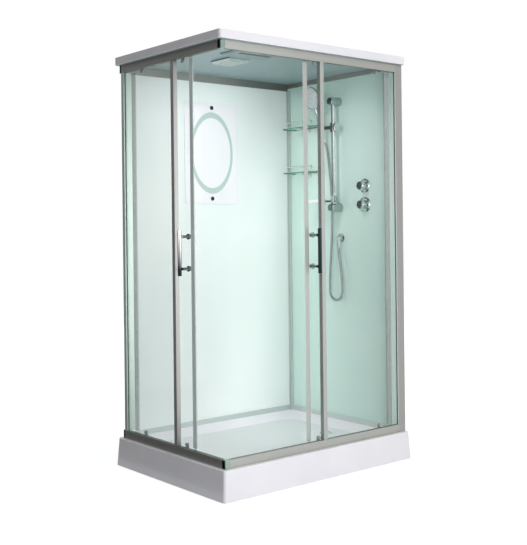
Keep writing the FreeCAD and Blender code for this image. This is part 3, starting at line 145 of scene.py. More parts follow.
# Cast acrylic is a bright, even white with a soft sheen and a faint orange peel. The up-facing basin floor
# is painted a little whiter as painted light, and the grooves between the grip squares a little darker as
# painted shade.
acrylic, tree = new_finish("cast_acrylic_white")
spot = add_node(tree, "TexCoord", {})
peel = add_node(tree, "TexNoise", {"Vector": spot.outputs["Object"], "Scale": 1 / PEEL_SIZE, "Detail": 1.0})
ripple = add_node(tree, "Bump", {"Height": peel.outputs["Fac"], "Strength": 0.05, "Distance": PEEL_DEPTH})
place = add_node(tree, "SeparateXYZ", {"Vector": spot.outputs["Object"]})
low = add_node(tree, "Math", {0: place.outputs["Z"], 1: basin_floor + FLOOR_MARGIN}, operation="LESS_THAN")
level = add_node(tree, "Math", {0: facing(tree, UP), 1: SQUARE_ENOUGH}, operation="GREATER_THAN")
on_floor = add_node(tree, "Math", {0: low.outputs["Value"], 1: level.outputs["Value"]}, operation="MULTIPLY")
squares = add_node(tree, "TexBrick", {
    "Vector": spot.outputs["Object"], "Scale": 1 / GRIP_PITCH, "Mortar Size": GROOVE_SHARE,
    "Mortar Smooth": 0.5, "Brick Width": 1.0, "Row Height": 1.0}, offset=0.0)
groove = add_node(tree, "Math", {
    0: squares.outputs["Fac"], 1: on_floor.outputs["Value"]}, operation="MULTIPLY")
pressed = add_node(tree, "Bump", {
    "Height": groove.outputs["Value"], "Strength": 0.5, "Distance": GROOVE_DEPTH,
    "Normal": ripple.outputs["Normal"]}, invert=True)
# Painted light: the basin floor that looks up is painted whiter than the rest of the shell.
shell_with_painted_floor_light = add_node(tree, "MixRGB", {
    "Fac": on_floor.outputs["Value"], "Color1": acrylic_white(tree), "Color2": tint("#FAFBFC")})
# Painted shade: the grooves between the grip squares are painted darker.
grooves_painted_shade = add_node(tree, "MixRGB", {
    "Fac": groove.outputs["Value"], "Color1": shell_with_painted_floor_light.outputs["Color"], "Color2": tint("#D3DADD")})
close_finish(tree, {
    "Base Color": grooves_painted_shade.outputs["Color"], "Roughness": drift(tree, 110 * MM, 0.3, 0.34),
    "Coat Weight": 0.2, "Coat Roughness": 0.2, "Normal": pressed.outputs["Normal"]})
dress(acrylic, "shower_tray")

# Support frame, feet and waste under the tray
# Welded square bars of zinc-plated steel carry the tray on six black screw feet. A grey trap is clamped
# under the drain hole, and a chromed grid lies over it.
SPANGLE_SIZE = 7 * MM
LEATHER_SIZE = 0.7 * MM
LEATHER_DEPTH = 0.2 * MM
LEFT_AND_BACK = (-0.98, 0.2, 0.0)
SHADE_SPAN = (0.5, 0.78)

# Zinc plate is a dull grey metal with patches of crystals.
zinc, tree = new_finish("zinc_plated_steel")
spot = add_node(tree, "TexCoord", {})
spangle = add_node(tree, "TexVoronoi", {"Vector": spot.outputs["Object"], "Scale": 1 / SPANGLE_SIZE})
crystals = add_node(tree, "MixRGB", {
    "Fac": spangle.outputs["Distance"], "Color1": tint("#8E9294"), "Color2": tint("#B4B8BA")})
close_finish(tree, {
    "Base Color": crystals.outputs["Color"], "Metallic": 0.9, "Roughness": drift(tree, 17 * MM, 0.32, 0.5)})
dress(zinc, "tray_support_frame")

# Black ABS from a spark-eroded mould has a fine leather grain that breaks up its shine.
black_abs, tree = new_finish("moulded_abs_black")
spot = add_node(tree, "TexCoord", {})
grain = add_node(tree, "TexNoise", {"Vector": spot.outputs["Object"], "Scale": 1 / LEATHER_SIZE})
leather = add_node(tree, "Bump", {
    "Height": grain.outputs["Fac"], "Strength": 0.25, "Distance": LEATHER_DEPTH})
close_finish(tree, {
    "Base Color": mottled(tree, 25 * MM, "#161718", "#232425"), "Roughness": drift(tree, 5 * MM, 0.38, 0.52),
    "Normal": leather.outputs["Normal"]})
dress(black_abs, "tray_feet")

# Grey ABS from a smooth mould is plain, with an uneven half-gloss.
grey_abs, tree = new_finish("moulded_abs_grey")
close_finish(tree, {
    "Base Color": mottled(tree, 33 * MM, "#A3A6A8", "#B3B6B8"),
    "Roughness": drift(tree, 4.5 * MM, 0.36, 0.5)})
dress(grey_abs, "drain_trap")


def chrome_plate(name, left_painted_shading, deep="#D6D9DA", pale="#E8EAEA"):
    """Polished chrome plate: a clear mirror in two tones, with a painted shade tone on the sides that look
    away to the left.
    """
    material, tree = new_finish(name)
    # Painted shade: the sides that look left and back take the shade tone.
    shade = add_node(tree, "MapRange", {
        "Value": facing(tree, LEFT_AND_BACK), "From Min": SHADE_SPAN[0], "From Max": SHADE_SPAN[1]})
    plate = add_node(tree, "MixRGB", {
        "Fac": shade.outputs["Result"], "Color1": mottled(tree, 40 * MM, deep, pale),
        "Color2": tint(left_painted_shading)})
    close_finish(tree, {
        "Base Color": plate.outputs["Color"], "Metallic": 1.0,
        "Roughness": drift(tree, 11 * MM, 0.05, 0.12)})
    return material


# Plain chrome, with a grey-green painted shade on its left-looking sides.
chrome = chrome_plate("chrome_plate", "#A3B0AF")
dress(chrome, "drain_cover")

# Rails, posts and corner caps
# Extruded aluminium, drawn through a die, cut to length and anodised to a satin. The rails are screwed to
# the posts, and chromed caps close the open corner's mitred rails.
DRAW_LINE = 1.1 * MM
DRAW_LENGTH = 330 * MM
DRAW_DEPTH = 0.3 * MM
LEFT = (-1.0, 0.0, 0.0)
LEFT_ENOUGH = 0.7
RUNS = {
    "along_x": (1 / DRAW_LENGTH, 1 / DRAW_LINE, 1 / DRAW_LINE),
    "along_y": (1 / DRAW_LINE, 1 / DRAW_LENGTH, 1 / DRAW_LINE),
    "along_z": (1 / DRAW_LINE, 1 / DRAW_LINE, 1 / DRAW_LENGTH),
}


def drawn_aluminium(name, run, pale, deep, metal, left_painted_shading):
    """Satin aluminium: noise squeezed across the length gives its long draw lines, coarser than real ones
    so that they show; faces to the left have one plain tone of painted light and shade."""
    material, tree = new_finish(name)
    spot = add_node(tree, "TexCoord", {})
    squeezed = add_node(tree, "Mapping", {"Vector": spot.outputs["Object"], "Scale": RUNS[run]})
    lines = add_node(tree, "TexNoise", {"Vector": squeezed.outputs["Vector"], "Scale": 1.0, "Detail": 4.0})
    relief = add_node(tree, "Bump", {
        "Height": lines.outputs["Fac"], "Strength": 0.12, "Distance": DRAW_DEPTH})
    rough = add_node(tree, "MapRange", {
        "Value": lines.outputs["Fac"], "From Min": NOISE_SPAN[0], "From Max": NOISE_SPAN[1],
        "To Min": 0.3, "To Max": 0.46})
    drawn = add_node(tree, "MixRGB", {
        "Fac": lines.outputs["Fac"], "Color1": tint(deep), "Color2": tint(pale)})
    # Painted light and shade: faces that look left get one plain tone.
    on_left = add_node(tree, "Math", {0: facing(tree, LEFT), 1: LEFT_ENOUGH}, operation="GREATER_THAN")
    metal_tone = add_node(tree, "MixRGB", {
        "Fac": on_left.outputs["Value"], "Color1": drawn.outputs["Color"], "Color2": tint(left_painted_shading)})
    close_finish(tree, {
        "Base Color": metal_tone.outputs["Color"], "Metallic": metal,
        "Roughness": rough.outputs["Result"], "Normal": relief.outputs["Normal"]})
    return material


# Each place has its own copy of one aluminium. Its tones, mint in some places, and its metal share are
# painted light, shade and reflection of the mint walls there.
for where, run, pale, deep, metal, left_painted_shading, wearers in (
        ("front", "along_x", "#A6A7A3", "#90918C", 1.0, "#A6A7A3",
         ("bottom_rail_front", "top_rail_front", "wall_top_rails")),
        ("left", "along_y", "#A3A4A0", "#8B8C88", 1.0, "#A3A4A0", ("bottom_rail_left", "top_rail_left")),
        ("post", "along_z", "#A3A29F", "#8D8C8A", 0.4, "#E3F2EC", ("right_front_post",)),
        ("rear", "along_z", "#C2D2CA", "#AEBFB6", 0.7, "#C2D2CA", ("left_rear_post",)),
        ("upright", "along_z", "#A8AAA7", "#969895", 0.8, "#A8AAA7",
         ("fixed_edge_profiles", "front_door_leading_profile")),
        ("lead", "along_z", "#C9D6D1", "#B8C6C0", 0.1, "#E6F3EE", ("left_door_leading_profile",)),
        ("strip", "along_z", "#CCD9D5", "#BAC8C3", 0.6, "#CCD9D5", ("wall_corner_strip",)),
        ("wall_foot", "along_x", "#D3DDDA", "#BECAC6", 0.4, "#D3DDDA", ("wall_bottom_rails",))):
    dress(drawn_aluminium(f"satin_aluminium_{where}", run, pale, deep, metal, left_painted_shading), *wearers)
# The caps' chrome has mint tones of painted reflection and a near-black painted shade on its left-looking
# sides.
dress(chrome_plate("chrome_plate_caps", "#1E2423", "#8A9E96", "#A3B4AD"), "rail_corner_caps")


# Glass walls
# Toughened glass with a mint enamel fired on its back. The panels stand in slots of the wall rails, the
# posts and the corner strip.
def enamelled_glass(name, pale, deep):
    """Enamelled glass: a soft tone that drifts a little over the sheet, under a polished face."""
    material, tree = new_finish(name)
    close_finish(tree, {
        "Base Color": mottled(tree, 625 * MM, deep, pale), "Roughness": drift(tree, 33 * MM, 0.05, 0.1),
        "IOR": 1.5})
    return material


# Both panels carry one enamel: the back one is painted paler as painted light, and the right one deeper as
# painted shade.
dress(enamelled_glass("enamelled_glass_back", "#F3FAF8", "#ECF7F4"), "back_wall_panel")
dress(enamelled_glass("enamelled_glass_right", "#DAF2EA", "#CEEAE1"), "right_wall_panel")

# Fixed panes, door panes and shelves
# Toughened float glass with ground edges. The fixed panes sit in slots of the rails and posts, the door
# panes hang on roller carriers, and the shelves rest on brackets in the corner.
ON_FACE = 0.8
EDGE_COVER = 0.85
SHEEN = 0.06


def clear_glass(name, across, edge):
    """Float glass: almost nothing shows on its faces but a faint film and the sheen at a low angle, while
    its cut edges look green; the direction across the pane tells faces from edges."""
    material, tree = new_finish(name)
    turned = add_node(tree, "Math", {0: facing(tree, across)}, operation="ABSOLUTE")
    on_face = add_node(tree, "Math", {0: turned.outputs["Value"], 1: ON_FACE}, operation="GREATER_THAN")
    gloss = add_node(tree, "LayerWeight", {"Blend": 0.2})
    film = drift(tree, 200 * MM, 0.008, 0.014)
    veil = add_node(tree, "Math", {0: gloss.outputs["Fresnel"], 1: SHEEN, 2: film}, operation="MULTIPLY_ADD")
    cover = add_node(tree, "MapRange", {
        "Value": on_face.outputs["Value"], "To Min": EDGE_COVER, "To Max": veil.outputs["Value"]})
    glass = add_node(tree, "MixRGB", {
        "Fac": on_face.outputs["Value"], "Color1": tint(edge), "Color2": tint("#C9DDD6")})
    close_finish(tree, {
        "Base Color": glass.outputs["Color"], "Roughness": drift(tree, 25 * MM, 0.02, 0.05), "IOR": 1.5,
        "Alpha": cover.outputs["Result"]})
    return material


dress(clear_glass("float_glass_front", (0.0, 1.0, 0.0), "#9CC4B8"), "fixed_glass_front", "front_door_glass")
dress(clear_glass("float_glass_left", (1.0, 0.0, 0.0), "#9CC4B8"), "fixed_glass_left", "left_door_glass")
dress(clear_glass("float_glass_shelf", UP, "#2C937A"), "glass_shelves")

# Door seals, handles, carriers and rollers
# Milky vinyl strips are pushed onto the panes' edges. Each bar handle of chromed brass is bolted through its
# pane, and grey plastic carriers hold nylon wheels that run in the rails.
BAR_DEPTH = 26 * MM
FOOT_SHARE = 0.15

# Soft vinyl lets most light through and has a dull, milky shine.
vinyl, tree = new_finish("extruded_vinyl_milky")
close_finish(tree, {
    "Base Color": mottled(tree, 83 * MM, "#F4FBF8", "#FBFEFD"),
    "Roughness": drift(tree, 8.3 * MM, 0.28, 0.4), "Alpha": 0.18})
dress(vinyl, "front_door_seals", "left_door_seals")


def handle_chrome(side, inward, painted_top_reflection):
    """Polished chrome plate: the bar carries a painted reflection, dark at its foot and running into another
    tone up to its top, and its bolts and caps, which lie further in, are grey."""
    material, tree = new_finish(f"chrome_plate_{side}_handle")
    name = f"{side}_door_handle"
    lowest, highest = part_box(name)
    outer = lowest["XYZ".index(inward)]
    spot = add_node(tree, "TexCoord", {})
    place = add_node(tree, "SeparateXYZ", {"Vector": spot.outputs["Object"]})
    behind = add_node(tree, "Math", {
        0: place.outputs[inward], 1: outer + BAR_DEPTH}, operation="GREATER_THAN")
    climb = add_node(tree, "MapRange", {
        "Value": place.outputs["Z"], "From Min": lowest.z + FOOT_SHARE * (highest.z - lowest.z),
        "From Max": highest.z})
    bar = add_node(tree, "MixRGB", {
        "Fac": climb.outputs["Result"], "Color1": tint("#1E2A2C"), "Color2": tint(painted_top_reflection)})
    plate = add_node(tree, "MixRGB", {
        "Fac": behind.outputs["Value"], "Color1": bar.outputs["Color"], "Color2": tint("#9AA5A5")})
    close_finish(tree, {
        "Base Color": plate.outputs["Color"], "Metallic": 1.0,
        "Roughness": drift(tree, 11 * MM, 0.05, 0.12)})
    dress(material, name)


# Painted reflection: the front bar runs dark all the way up, and the left one up to a pale top.
handle_chrome("front", "Y", "#263133")
handle_chrome("left", "X", "#E4DEE0")
dress(grey_abs, "front_door_carriers", "left_door_carriers")

# Turned nylon is an off-white with a waxy glow under its dull surface.
nylon, tree = new_finish("turned_nylon_white")
close_finish(tree, {
    "Base Color": mottled(tree, 11 * MM, "#D6D7D5", "#E6E6E3"),
    "Roughness": drift(tree, 3.3 * MM, 0.35, 0.48), "Subsurface Weight": 0.1, "Subsurface Scale": 2 * MM})
dress(nylon, *[f"{side}_{end}_roller_{count}"
               for side in ("front", "left") for end in ("bottom", "top") for count in (1, 2)])

# Roof and vent
# The roof is a lid of the same acrylic as the tray, grey-green below with painted shade, and rests on the
# top rails.
# A moulded louvre is clipped into it under the fan's duct.
DOWN = (0.0, 0.0, -1.0)
SLOT_SIDE = 0.3

# The lid's white is a little duller than the tray's, and its underside is a flat grey-green of painted shade
# and painted reflection of the mint walls.
lid, tree = new_finish("cast_acrylic_lid")
# Painted shade: faces that look down are painted grey-green.
underside_painted_shade = add_node(tree, "Math", {0: facing(tree, DOWN), 1: SQUARE_ENOUGH}, operation="GREATER_THAN")
lid_white_and_painted_shade = add_node(tree, "MixRGB", {
    "Fac": underside_painted_shade.outputs["Value"], "Color1": acrylic_white(tree), "Color2": tint("#9AB0B3")})
close_finish(tree, {
    "Base Color": lid_white_and_painted_shade.outputs["Color"], "Roughness": drift(tree, 110 * MM, 0.4, 0.44), "Coat Weight": 0.1,
    "Coat Roughness": 0.3})
dress(lid, "roof")

# Grey-green ABS, with painted shade, nearly black, on the walls of its slots.
vent_abs, tree = new_finish("moulded_abs_grey_green")
slot_wall_shade_mask = add_node(tree, "Math", {0: facing(tree, DOWN), 1: SLOT_SIDE}, operation="LESS_THAN")
louvre = add_node(tree, "MixRGB", {
    "Fac": slot_wall_shade_mask.outputs["Value"], "Color1": mottled(tree, 33 * MM, "#8B9FA0", "#98ABAC"),
    "Color2": tint("#27302F")})
close_finish(tree, {"Base Color": louvre.outputs["Color"], "Roughness": drift(tree, 4.5 * MM, 0.36, 0.46)})
dress(vent_abs, "vent_cover")

# Overhead shower
# A flat square head of chromed brass, screwed up under the roof. A sheet of silicone with a field of soft
# nozzles is pressed into its underside.
PLATE_PROUD = 0.4 * MM
PLATE_SIZE = (100 * MM, 120 * MM)
PLATE_STEPS = (73, 87)
NOZZLE_PITCH = (12.5 * MM, 12 * MM)
NOZZLE_HEIGHT = 1.2 * MM
NOZZLE_WIDTH = 1.8 * MM
SHEET_THICKNESS = 0.3 * MM
FLANK_SPAN = (0.75, 0.97)
scene = bpy.context.scene


def grid_mesh(name, grid, closed_across=False, sizes=(1.0, 1.0)):
    """A smooth surface through a grid of points, each cell one face; sizes gives the UV extent along the
    rows and across them, and a grid that is closed across joins its last column to its first."""
    rows, columns = grid.shape[:2]
    mesh = bpy.data.meshes.new(name)
    spans = columns if closed_across else columns - 1
    row, column = np.meshgrid(np.arange(rows - 1), np.arange(spans), indexing="ij")
    after = (column + 1) % columns
    corners = np.stack([row * columns + column, row * columns + after,
                        (row + 1) * columns + after, (row + 1) * columns + column], axis=-1)
    mesh.from_pydata(grid.reshape(-1, 3).tolist(), [], corners.reshape(-1, 4).tolist())
    u = np.stack([row, row, row + 1, row + 1], axis=-1) / (rows - 1) * sizes[0]
    v = np.stack([column, column + 1, column + 1, column], axis=-1) / spans * sizes[1]
    layer = mesh.uv_layers.new(name="UVMap")
    layer.data.foreach_set("uv", np.stack([u, v], axis=-1).astype(np.float32).ravel())
    mesh.polygons.foreach_set("use_smooth", np.ones(len(mesh.polygons), dtype=bool))
    mesh.update()
    piece = bpy.data.objects.new(name, mesh)
    scene.collection.objects.link(piece)
    return piece


def thicken(piece):
    """Gives a thin piece a body behind its face."""
    body = piece.modifiers.new("thickness", "SOLIDIFY")
    body.thickness = SHEET_THICKNESS
    body.offset = -1.0


def nozzle_silicone(name, outward):
    """Moulded silicone: pale and dull where it looks outward, with painted shade on the steep flanks of its
    nozzles.
    """
    material, tree = new_finish(name)
    level = add_node(tree, "MapRange", {
        "Value": facing(tree, outward), "From Min": FLANK_SPAN[0], "From Max": FLANK_SPAN[1]})
    # Painted shade: the steep flanks of the nozzles are painted dark.
    rubber = add_node(tree, "MixRGB", {
        "Fac": level.outputs["Result"], "Color1": tint("#4A5556"),
        "Color2": mottled(tree, 17 * MM, "#B9C3C2", "#CBD2D1")})
    close_finish(tree, {"Base Color": rubber.outputs["Color"], "Roughness": drift(tree, 5 * MM, 0.3, 0.42)})
    return material


def bell(squared_distance, height, width):
    """A nozzle's rise: its height times the bell curve of the distance from its middle over its width."""
    return height * np.exp(-squared_distance / width ** 2)


def middle(name):
    """The middle of a CAD node's box."""
    lowest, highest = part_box(name)
    return (lowest + highest) / 2


# The sheet is level but for a bell-shaped drop at each nozzle, one in the middle of each cell of the field.
across, over = np.meshgrid(
    np.linspace(-0.5, 0.5, PLATE_STEPS[0]) * PLATE_SIZE[0],
    np.linspace(-0.5, 0.5, PLATE_STEPS[1]) * PLATE_SIZE[1], indexing="ij")
off_x = (across + PLATE_SIZE[0] / 2) % NOZZLE_PITCH[0] - NOZZLE_PITCH[0] / 2
off_y = (over + PLATE_SIZE[1] / 2) % NOZZLE_PITCH[1] - NOZZLE_PITCH[1] / 2
drop = bell(off_x ** 2 + off_y ** 2, NOZZLE_HEIGHT, NOZZLE_WIDTH)
head = middle("overhead_shower")
plate_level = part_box("overhead_shower")[0].z - PLATE_PROUD
plate = grid_mesh("overhead_nozzle_plate", np.stack(
    [head.x + across, head.y + over, plate_level - drop], axis=-1))
thicken(plate)
plate.data.materials.append(nozzle_silicone("moulded_silicone_overhead", DOWN))
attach(plate, "cabin")
dress(chrome, "overhead_shower")

# Painted shade in the vent duct
# A black sheet laid in the duct over the louvre, as painted shade for the dark duct behind it. It is seen
# only through the louvre's slots.
SHADE_SHEET_GAP = 1.5 * MM
SHADE_SHEET_SIZE = (156 * MM, 116 * MM)


def flat_grid(corner, along, over):
    """A flat four-sided sheet: one corner, plus none or all of each of its two sides."""
    share = np.array((0.0, 1.0))
    return np.array(corner) + share[:, None, None] * np.array(along) + share[None, :, None] * np.array(over)


vent = middle("vent_cover")
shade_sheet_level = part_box("vent_cover")[1].z + SHADE_SHEET_GAP
duct_shade_sheet = grid_mesh("vent_duct_shade_sheet", flat_grid(
    (vent.x - SHADE_SHEET_SIZE[0] / 2, vent.y - SHADE_SHEET_SIZE[1] / 2, shade_sheet_level),
    (SHADE_SHEET_SIZE[0], 0.0, 0.0), (0.0, SHADE_SHEET_SIZE[1], 0.0)))
thicken(duct_shade_sheet)
duct_shade_sheet.data.materials.append(black_abs)
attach(duct_shade_sheet, "cabin")

# Mirror
# A pane of silvered glass with an oval ring etched into it. Two nickel caps screw it to the back wall.
RING_RISE = 1.5 * MM
RING_OUTER = (143 * MM, 223 * MM)
RING_INNER = (127 * MM, 192 * MM)

# Silvered glass is drawn as a pale white with a little metal: its colour is a painted reflection of the
# white room. The etched ring is a flat grey-green that mirrors nothing.
silver, tree = new_finish("etched_silvered_glass")
spot = add_node(tree, "TexCoord", {})
ring_x = middle("mirror").x
ring_level = middle("mirror").z + RING_RISE
inside = []
for half_width, half_height in (RING_OUTER, RING_INNER):
    scaled = add_node(tree, "Mapping", {
        "Vector": spot.outputs["Object"], "Scale": (1 / half_width, 0.0, 1 / half_height),
        "Location": (-ring_x / half_width, 0.0, -ring_level / half_height)})
    reach = add_node(tree, "VectorMath", {0: scaled.outputs["Vector"]}, operation="LENGTH")
    inside.append(add_node(tree, "Math", {0: reach.outputs["Value"], 1: 1.0}, operation="LESS_THAN"))
ring = add_node(tree, "Math", {
    0: inside[0].outputs["Value"], 1: inside[1].outputs["Value"]}, operation="SUBTRACT").outputs["Value"]
dull = add_node(tree, "MapRange", {
    "Value": ring, "To Min": drift(tree, 33 * MM, 0.02, 0.05), "To Max": drift(tree, 1.4 * MM, 0.5, 0.65)})
metal = add_node(tree, "MapRange", {"Value": ring, "To Min": 0.06, "To Max": 0.0})
# Painted reflection: the mirror's near-white stands for the white room it mirrors.
etched = add_node(tree, "MixRGB", {"Fac": ring, "Color1": tint("#F6F6FA"), "Color2": tint("#B9CDC6")})
close_finish(tree, {
    "Base Color": etched.outputs["Color"], "Metallic": metal.outputs["Result"],
    "Roughness": dull.outputs["Result"]})
dress(silver, "mirror")

# Black nickel plate on the caps is a dark, half-bright metal.
nickel, tree = new_finish("black_nickel_plate")
close_finish(tree, {
    "Base Color": mottled(tree, 17 * MM, "#3C4142", "#565B5C"), "Metallic": 1.0,
    "Roughness": drift(tree, 6.7 * MM, 0.16, 0.26)})
dress(nickel, "mirror_caps")

# Shelf rails, slide bar, soap dish, wall outlet and controls
# Chromed brass: bent rails on the shelves, a tube between two wall brackets, and turned knobs. The soap dish
# is white plastic on a chromed clamp, and the valve's cast body is bolted behind the right wall.
CLAMP_REACH = 56 * MM

# Each piece has its own pair of tones, a painted reflection of what its polish mirrors at its place, and its
# own painted shade tone on the sides that look left.
chrome_with_painted_dark_side = chrome_plate("chrome_plate_painted_dark_side", "#333D3F")
dress(chrome, "handset", "wall_outlet_elbow", "hose_nut_lower", "hose_nut_upper", "valve_flanges")
dress(chrome_with_painted_dark_side, "slider", "slider_knob", "handset_holder", "mixer_knob", "diverter_knob")
dress(chrome_plate("chrome_plate_brackets", "#5E7674", "#9DB0AC", "#B4C3BF"), "slide_bar_brackets")
dress(chrome_plate("chrome_plate_bar", "#6E7C7B", "#E4E7E6", "#F4F6F5"), "slide_bar")
dress(chrome_plate("chrome_plate_gallery", "#D6DCCF", "#CFD4C8", "#E0E4DA"), "shelf_fittings")

# White ABS with a clean gloss, plated with chrome where it clamps on the bar.
dish, tree = new_finish("moulded_abs_white_plated")
spot = add_node(tree, "TexCoord", {})
bar = middle("slide_bar")
flat = add_node(tree, "Mapping", {
    "Vector": spot.outputs["Object"], "Location": (-bar.x, -bar.y, 0.0), "Scale": (1.0, 1.0, 0.0)})
reach = add_node(tree, "VectorMath", {0: flat.outputs["Vector"]}, operation="LENGTH")
clamp = add_node(tree, "Math", {0: reach.outputs["Value"], 1: CLAMP_REACH}, operation="LESS_THAN")
plated = add_node(tree, "MixRGB", {
    "Fac": clamp.outputs["Value"], "Color1": tint("#F4F5F7"), "Color2": tint("#A9B4B4")})
close_finish(tree, {
    "Base Color": plated.outputs["Color"], "Metallic": clamp.outputs["Value"],
    "Roughness": drift(tree, 17 * MM, 0.1, 0.2)})
dress(dish, "soap_dish")

# Cast brass is a warm yellow metal with a dull skin.
brass, tree = new_finish("cast_brass")
close_finish(tree, {
    "Base Color": mottled(tree, 33 * MM, "#A58A4E", "#BFA261"), "Metallic": 1.0,
    "Roughness": drift(tree, 6.7 * MM, 0.28, 0.42)})
dress(brass, "valve_body")

# Spray face of the hand shower
# A disc of moulded silicone with five rings of soft nozzles, pressed into the recess of the chromed head.
# The head leans, and its place is measured from the pin that the handset tilts on.
LEAN = math.radians(22)
PIN_TO_FACE = 19.35 * MM
PIN_TO_CENTRE = 180 * MM
FACE_RADIUS = 59.4 * MM
FACE_STEPS = 101
RINGS = ((8 * MM, 6), (18 * MM, 12), (28 * MM, 18), (38 * MM, 24), (48 * MM, 30))
SPRAY_HEIGHT = 1 * MM
SPRAY_WIDTH = 1.6 * MM
FULL_TURN = 2 * math.pi


def disc_grid(steps):
    """A square grid from -1 to 1 bent to a disc: each part shrinks by the root of 1 less half the other's
    square."""
    first, second = np.meshgrid(np.linspace(-1.0, 1.0, steps), np.linspace(-1.0, 1.0, steps), indexing="ij")
    return first * np.sqrt(1.0 - second ** 2 / 2), second * np.sqrt(1.0 - first ** 2 / 2)


def ring_rise(radius, angle, ring_radius, count):
    """The rise of a ring of nozzles: a bell at each, whose squared distance comes from the cosine rule with
    the angle to the nearest nozzle."""
    nearest = ((angle * count / FULL_TURN + 0.5) % 1.0 - 0.5) * FULL_TURN / count
    apart = radius ** 2 + ring_radius ** 2 - 2 * radius * ring_radius * np.cos(nearest)
    return bell(apart, SPRAY_HEIGHT, SPRAY_WIDTH)


across, up = (FACE_RADIUS * part for part in disc_grid(FACE_STEPS))
radius = np.hypot(across, up)
angle = np.arctan2(up, across)
rise = sum(ring_rise(radius, angle, ring_radius, count) for ring_radius, count in RINGS)
pin = next(Vector(joint["pos_m"]) for joint in frame["joints"] if joint["name"] == "handset_tilt")
out = -PIN_TO_FACE - rise
along = PIN_TO_CENTRE - up
face = grid_mesh("handset_spray_face", np.stack([
    pin.x + out * math.cos(LEAN) - along * math.sin(LEAN),
    middle("handset").y - across,
    pin.z + out * math.sin(LEAN) + along * math.cos(LEAN)], axis=-1))
thicken(face)
outward = (-math.cos(LEAN), 0.0, -math.sin(LEAN))
face.data.materials.append(nozzle_silicone("moulded_silicone_spray", outward))
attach(face, "handset")

# Shower hose
# A hose 14 mm thick, a strip of plated steel wound over a rubber liner. Its nuts screw it to the handset and
# to the wall outlet, and it hangs in a loop between them. The route's points are in millimetres.
HOSE_ROUTE = [
    (523.97, 79, 1675.97), (531.46, 79, 1657.43),
    (535.5, 76, 1634), (536, 70.5, 1600), (535.5, 62.5, 1552), (534.5, 54, 1492), (533.5, 45.5, 1425),
    (532.3, 39.5, 1357), (531, 36.5, 1288), (530, 36.8, 1218), (529, 39.5, 1148), (528, 43.5, 1078),
    (527, 48, 1010), (526, 51, 960), (525, 52, 915), (524.5, 52.4, 874), (524, 52, 834.4),
    (524, 33.7, 809.1), (524, 4, 799.5), (524, -25.7, 809.1), (524, -43.4, 834.4), (524, -44.4, 870),
    (524.5, -42, 910), (525.5, -36.5, 955), (526.5, -29, 1000), (527.8, -21, 1035), (528.7, -15.5, 1056),
    (529, -13, 1072), (529, -13, 1090),
]
HOSE_RADIUS = 6.9 * MM
RIB_PITCH = 4.2 * MM
RIB_DEPTH = 0.45 * MM
RINGS_PER_RIB = 4
RING_POINTS = 14
SPLINE_STEPS = 24
WAVE_RATE = 20


def spline_points(route):
    """Points along a smooth line whose control points are the route's points."""
    curve = bpy.data.curves.new("hose_line", "CURVE")
    curve.dimensions = "3D"
    curve.resolution_u = SPLINE_STEPS
    spline = curve.splines.new("NURBS")
    spline.points.add(len(route) - 1)
    for point, place in zip(spline.points, route):
        point.co = (*[part * MM for part in place], 1.0)
    spline.order_u = 3
    spline.use_endpoint_u = True
    carrier = bpy.data.objects.new("hose_line", curve)
    line = bpy.data.meshes.new_from_object(carrier)
    points = np.array([vertex.co[:] for vertex in line.vertices])
    bpy.data.meshes.remove(line)
    bpy.data.objects.remove(carrier)
    bpy.data.curves.remove(curve)
    return points


def even_spacing(points, step):
    """The same line as points one step apart, with the distance of each from the start."""
    gone = np.concatenate([[0.0], np.cumsum(np.linalg.norm(np.diff(points, axis=0), axis=1))])
    wanted = np.linspace(0.0, gone[-1], int(round(gone[-1] / step)) + 1)
    return np.stack([np.interp(wanted, gone, points[:, axis]) for axis in range(3)], axis=1), wanted


def carried_frames(points):
    """Side and upper directions along a line, turned from point to point no more than the line turns."""
    ahead = np.gradient(points, axis=0)
    ahead /= np.linalg.norm(ahead, axis=1)[:, None]
    side = np.cross(ahead[0], (0.0, 1.0, 0.0))
    sides = []
    for direction in ahead:
        side = side - direction * np.dot(side, direction)
        side = side / np.linalg.norm(side)
        sides.append(side)
    sides = np.array(sides)
    return sides, np.cross(ahead, sides)


# The tube is a circle carried along the line, whose radius dips by a cosine once in each rib.
line, gone = even_spacing(spline_points(HOSE_ROUTE), RIB_PITCH / RINGS_PER_RIB)
sides, uppers = carried_frames(line)
turn = np.linspace(0.0, FULL_TURN, RING_POINTS, endpoint=False)[None, :, None]
ribbed = HOSE_RADIUS - RIB_DEPTH * (0.5 - 0.5 * np.cos(FULL_TURN * gone / RIB_PITCH))
circle = np.cos(turn) * sides[:, None, :] + np.sin(turn) * uppers[:, None, :]
hose = grid_mesh("hose_ribbed_tube", line[:, None, :] + ribbed[:, None, None] * circle, closed_across=True,
                 sizes=(gone[-1], FULL_TURN * HOSE_RADIUS))

# Wound steel, with painted light on the ribs and painted shade in the gaps between them. The wave runs along
# the hose, and its scale is set by the 20 radians that it turns through in each unit.
wound_steel, tree = new_finish("wound_steel_hose")
laid = add_node(tree, "TexCoord", {})
ribs = add_node(tree, "TexWave", {
    "Vector": laid.outputs["UV"], "Scale": FULL_TURN / RIB_PITCH / WAVE_RATE, "Distortion": 0.0})
# Painted light on the ribs and painted shade in the gaps.
strip = add_node(tree, "MixRGB", {
    "Fac": ribs.outputs["Fac"], "Color1": tint("#727A7C"), "Color2": tint("#BEC4C5")})
close_finish(tree, {
    "Base Color": strip.outputs["Color"], "Metallic": 1.0, "Roughness": drift(tree, 8.3 * MM, 0.14, 0.24)})
hose.data.materials.append(wound_steel)
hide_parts("shower_hose")
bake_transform(hose)

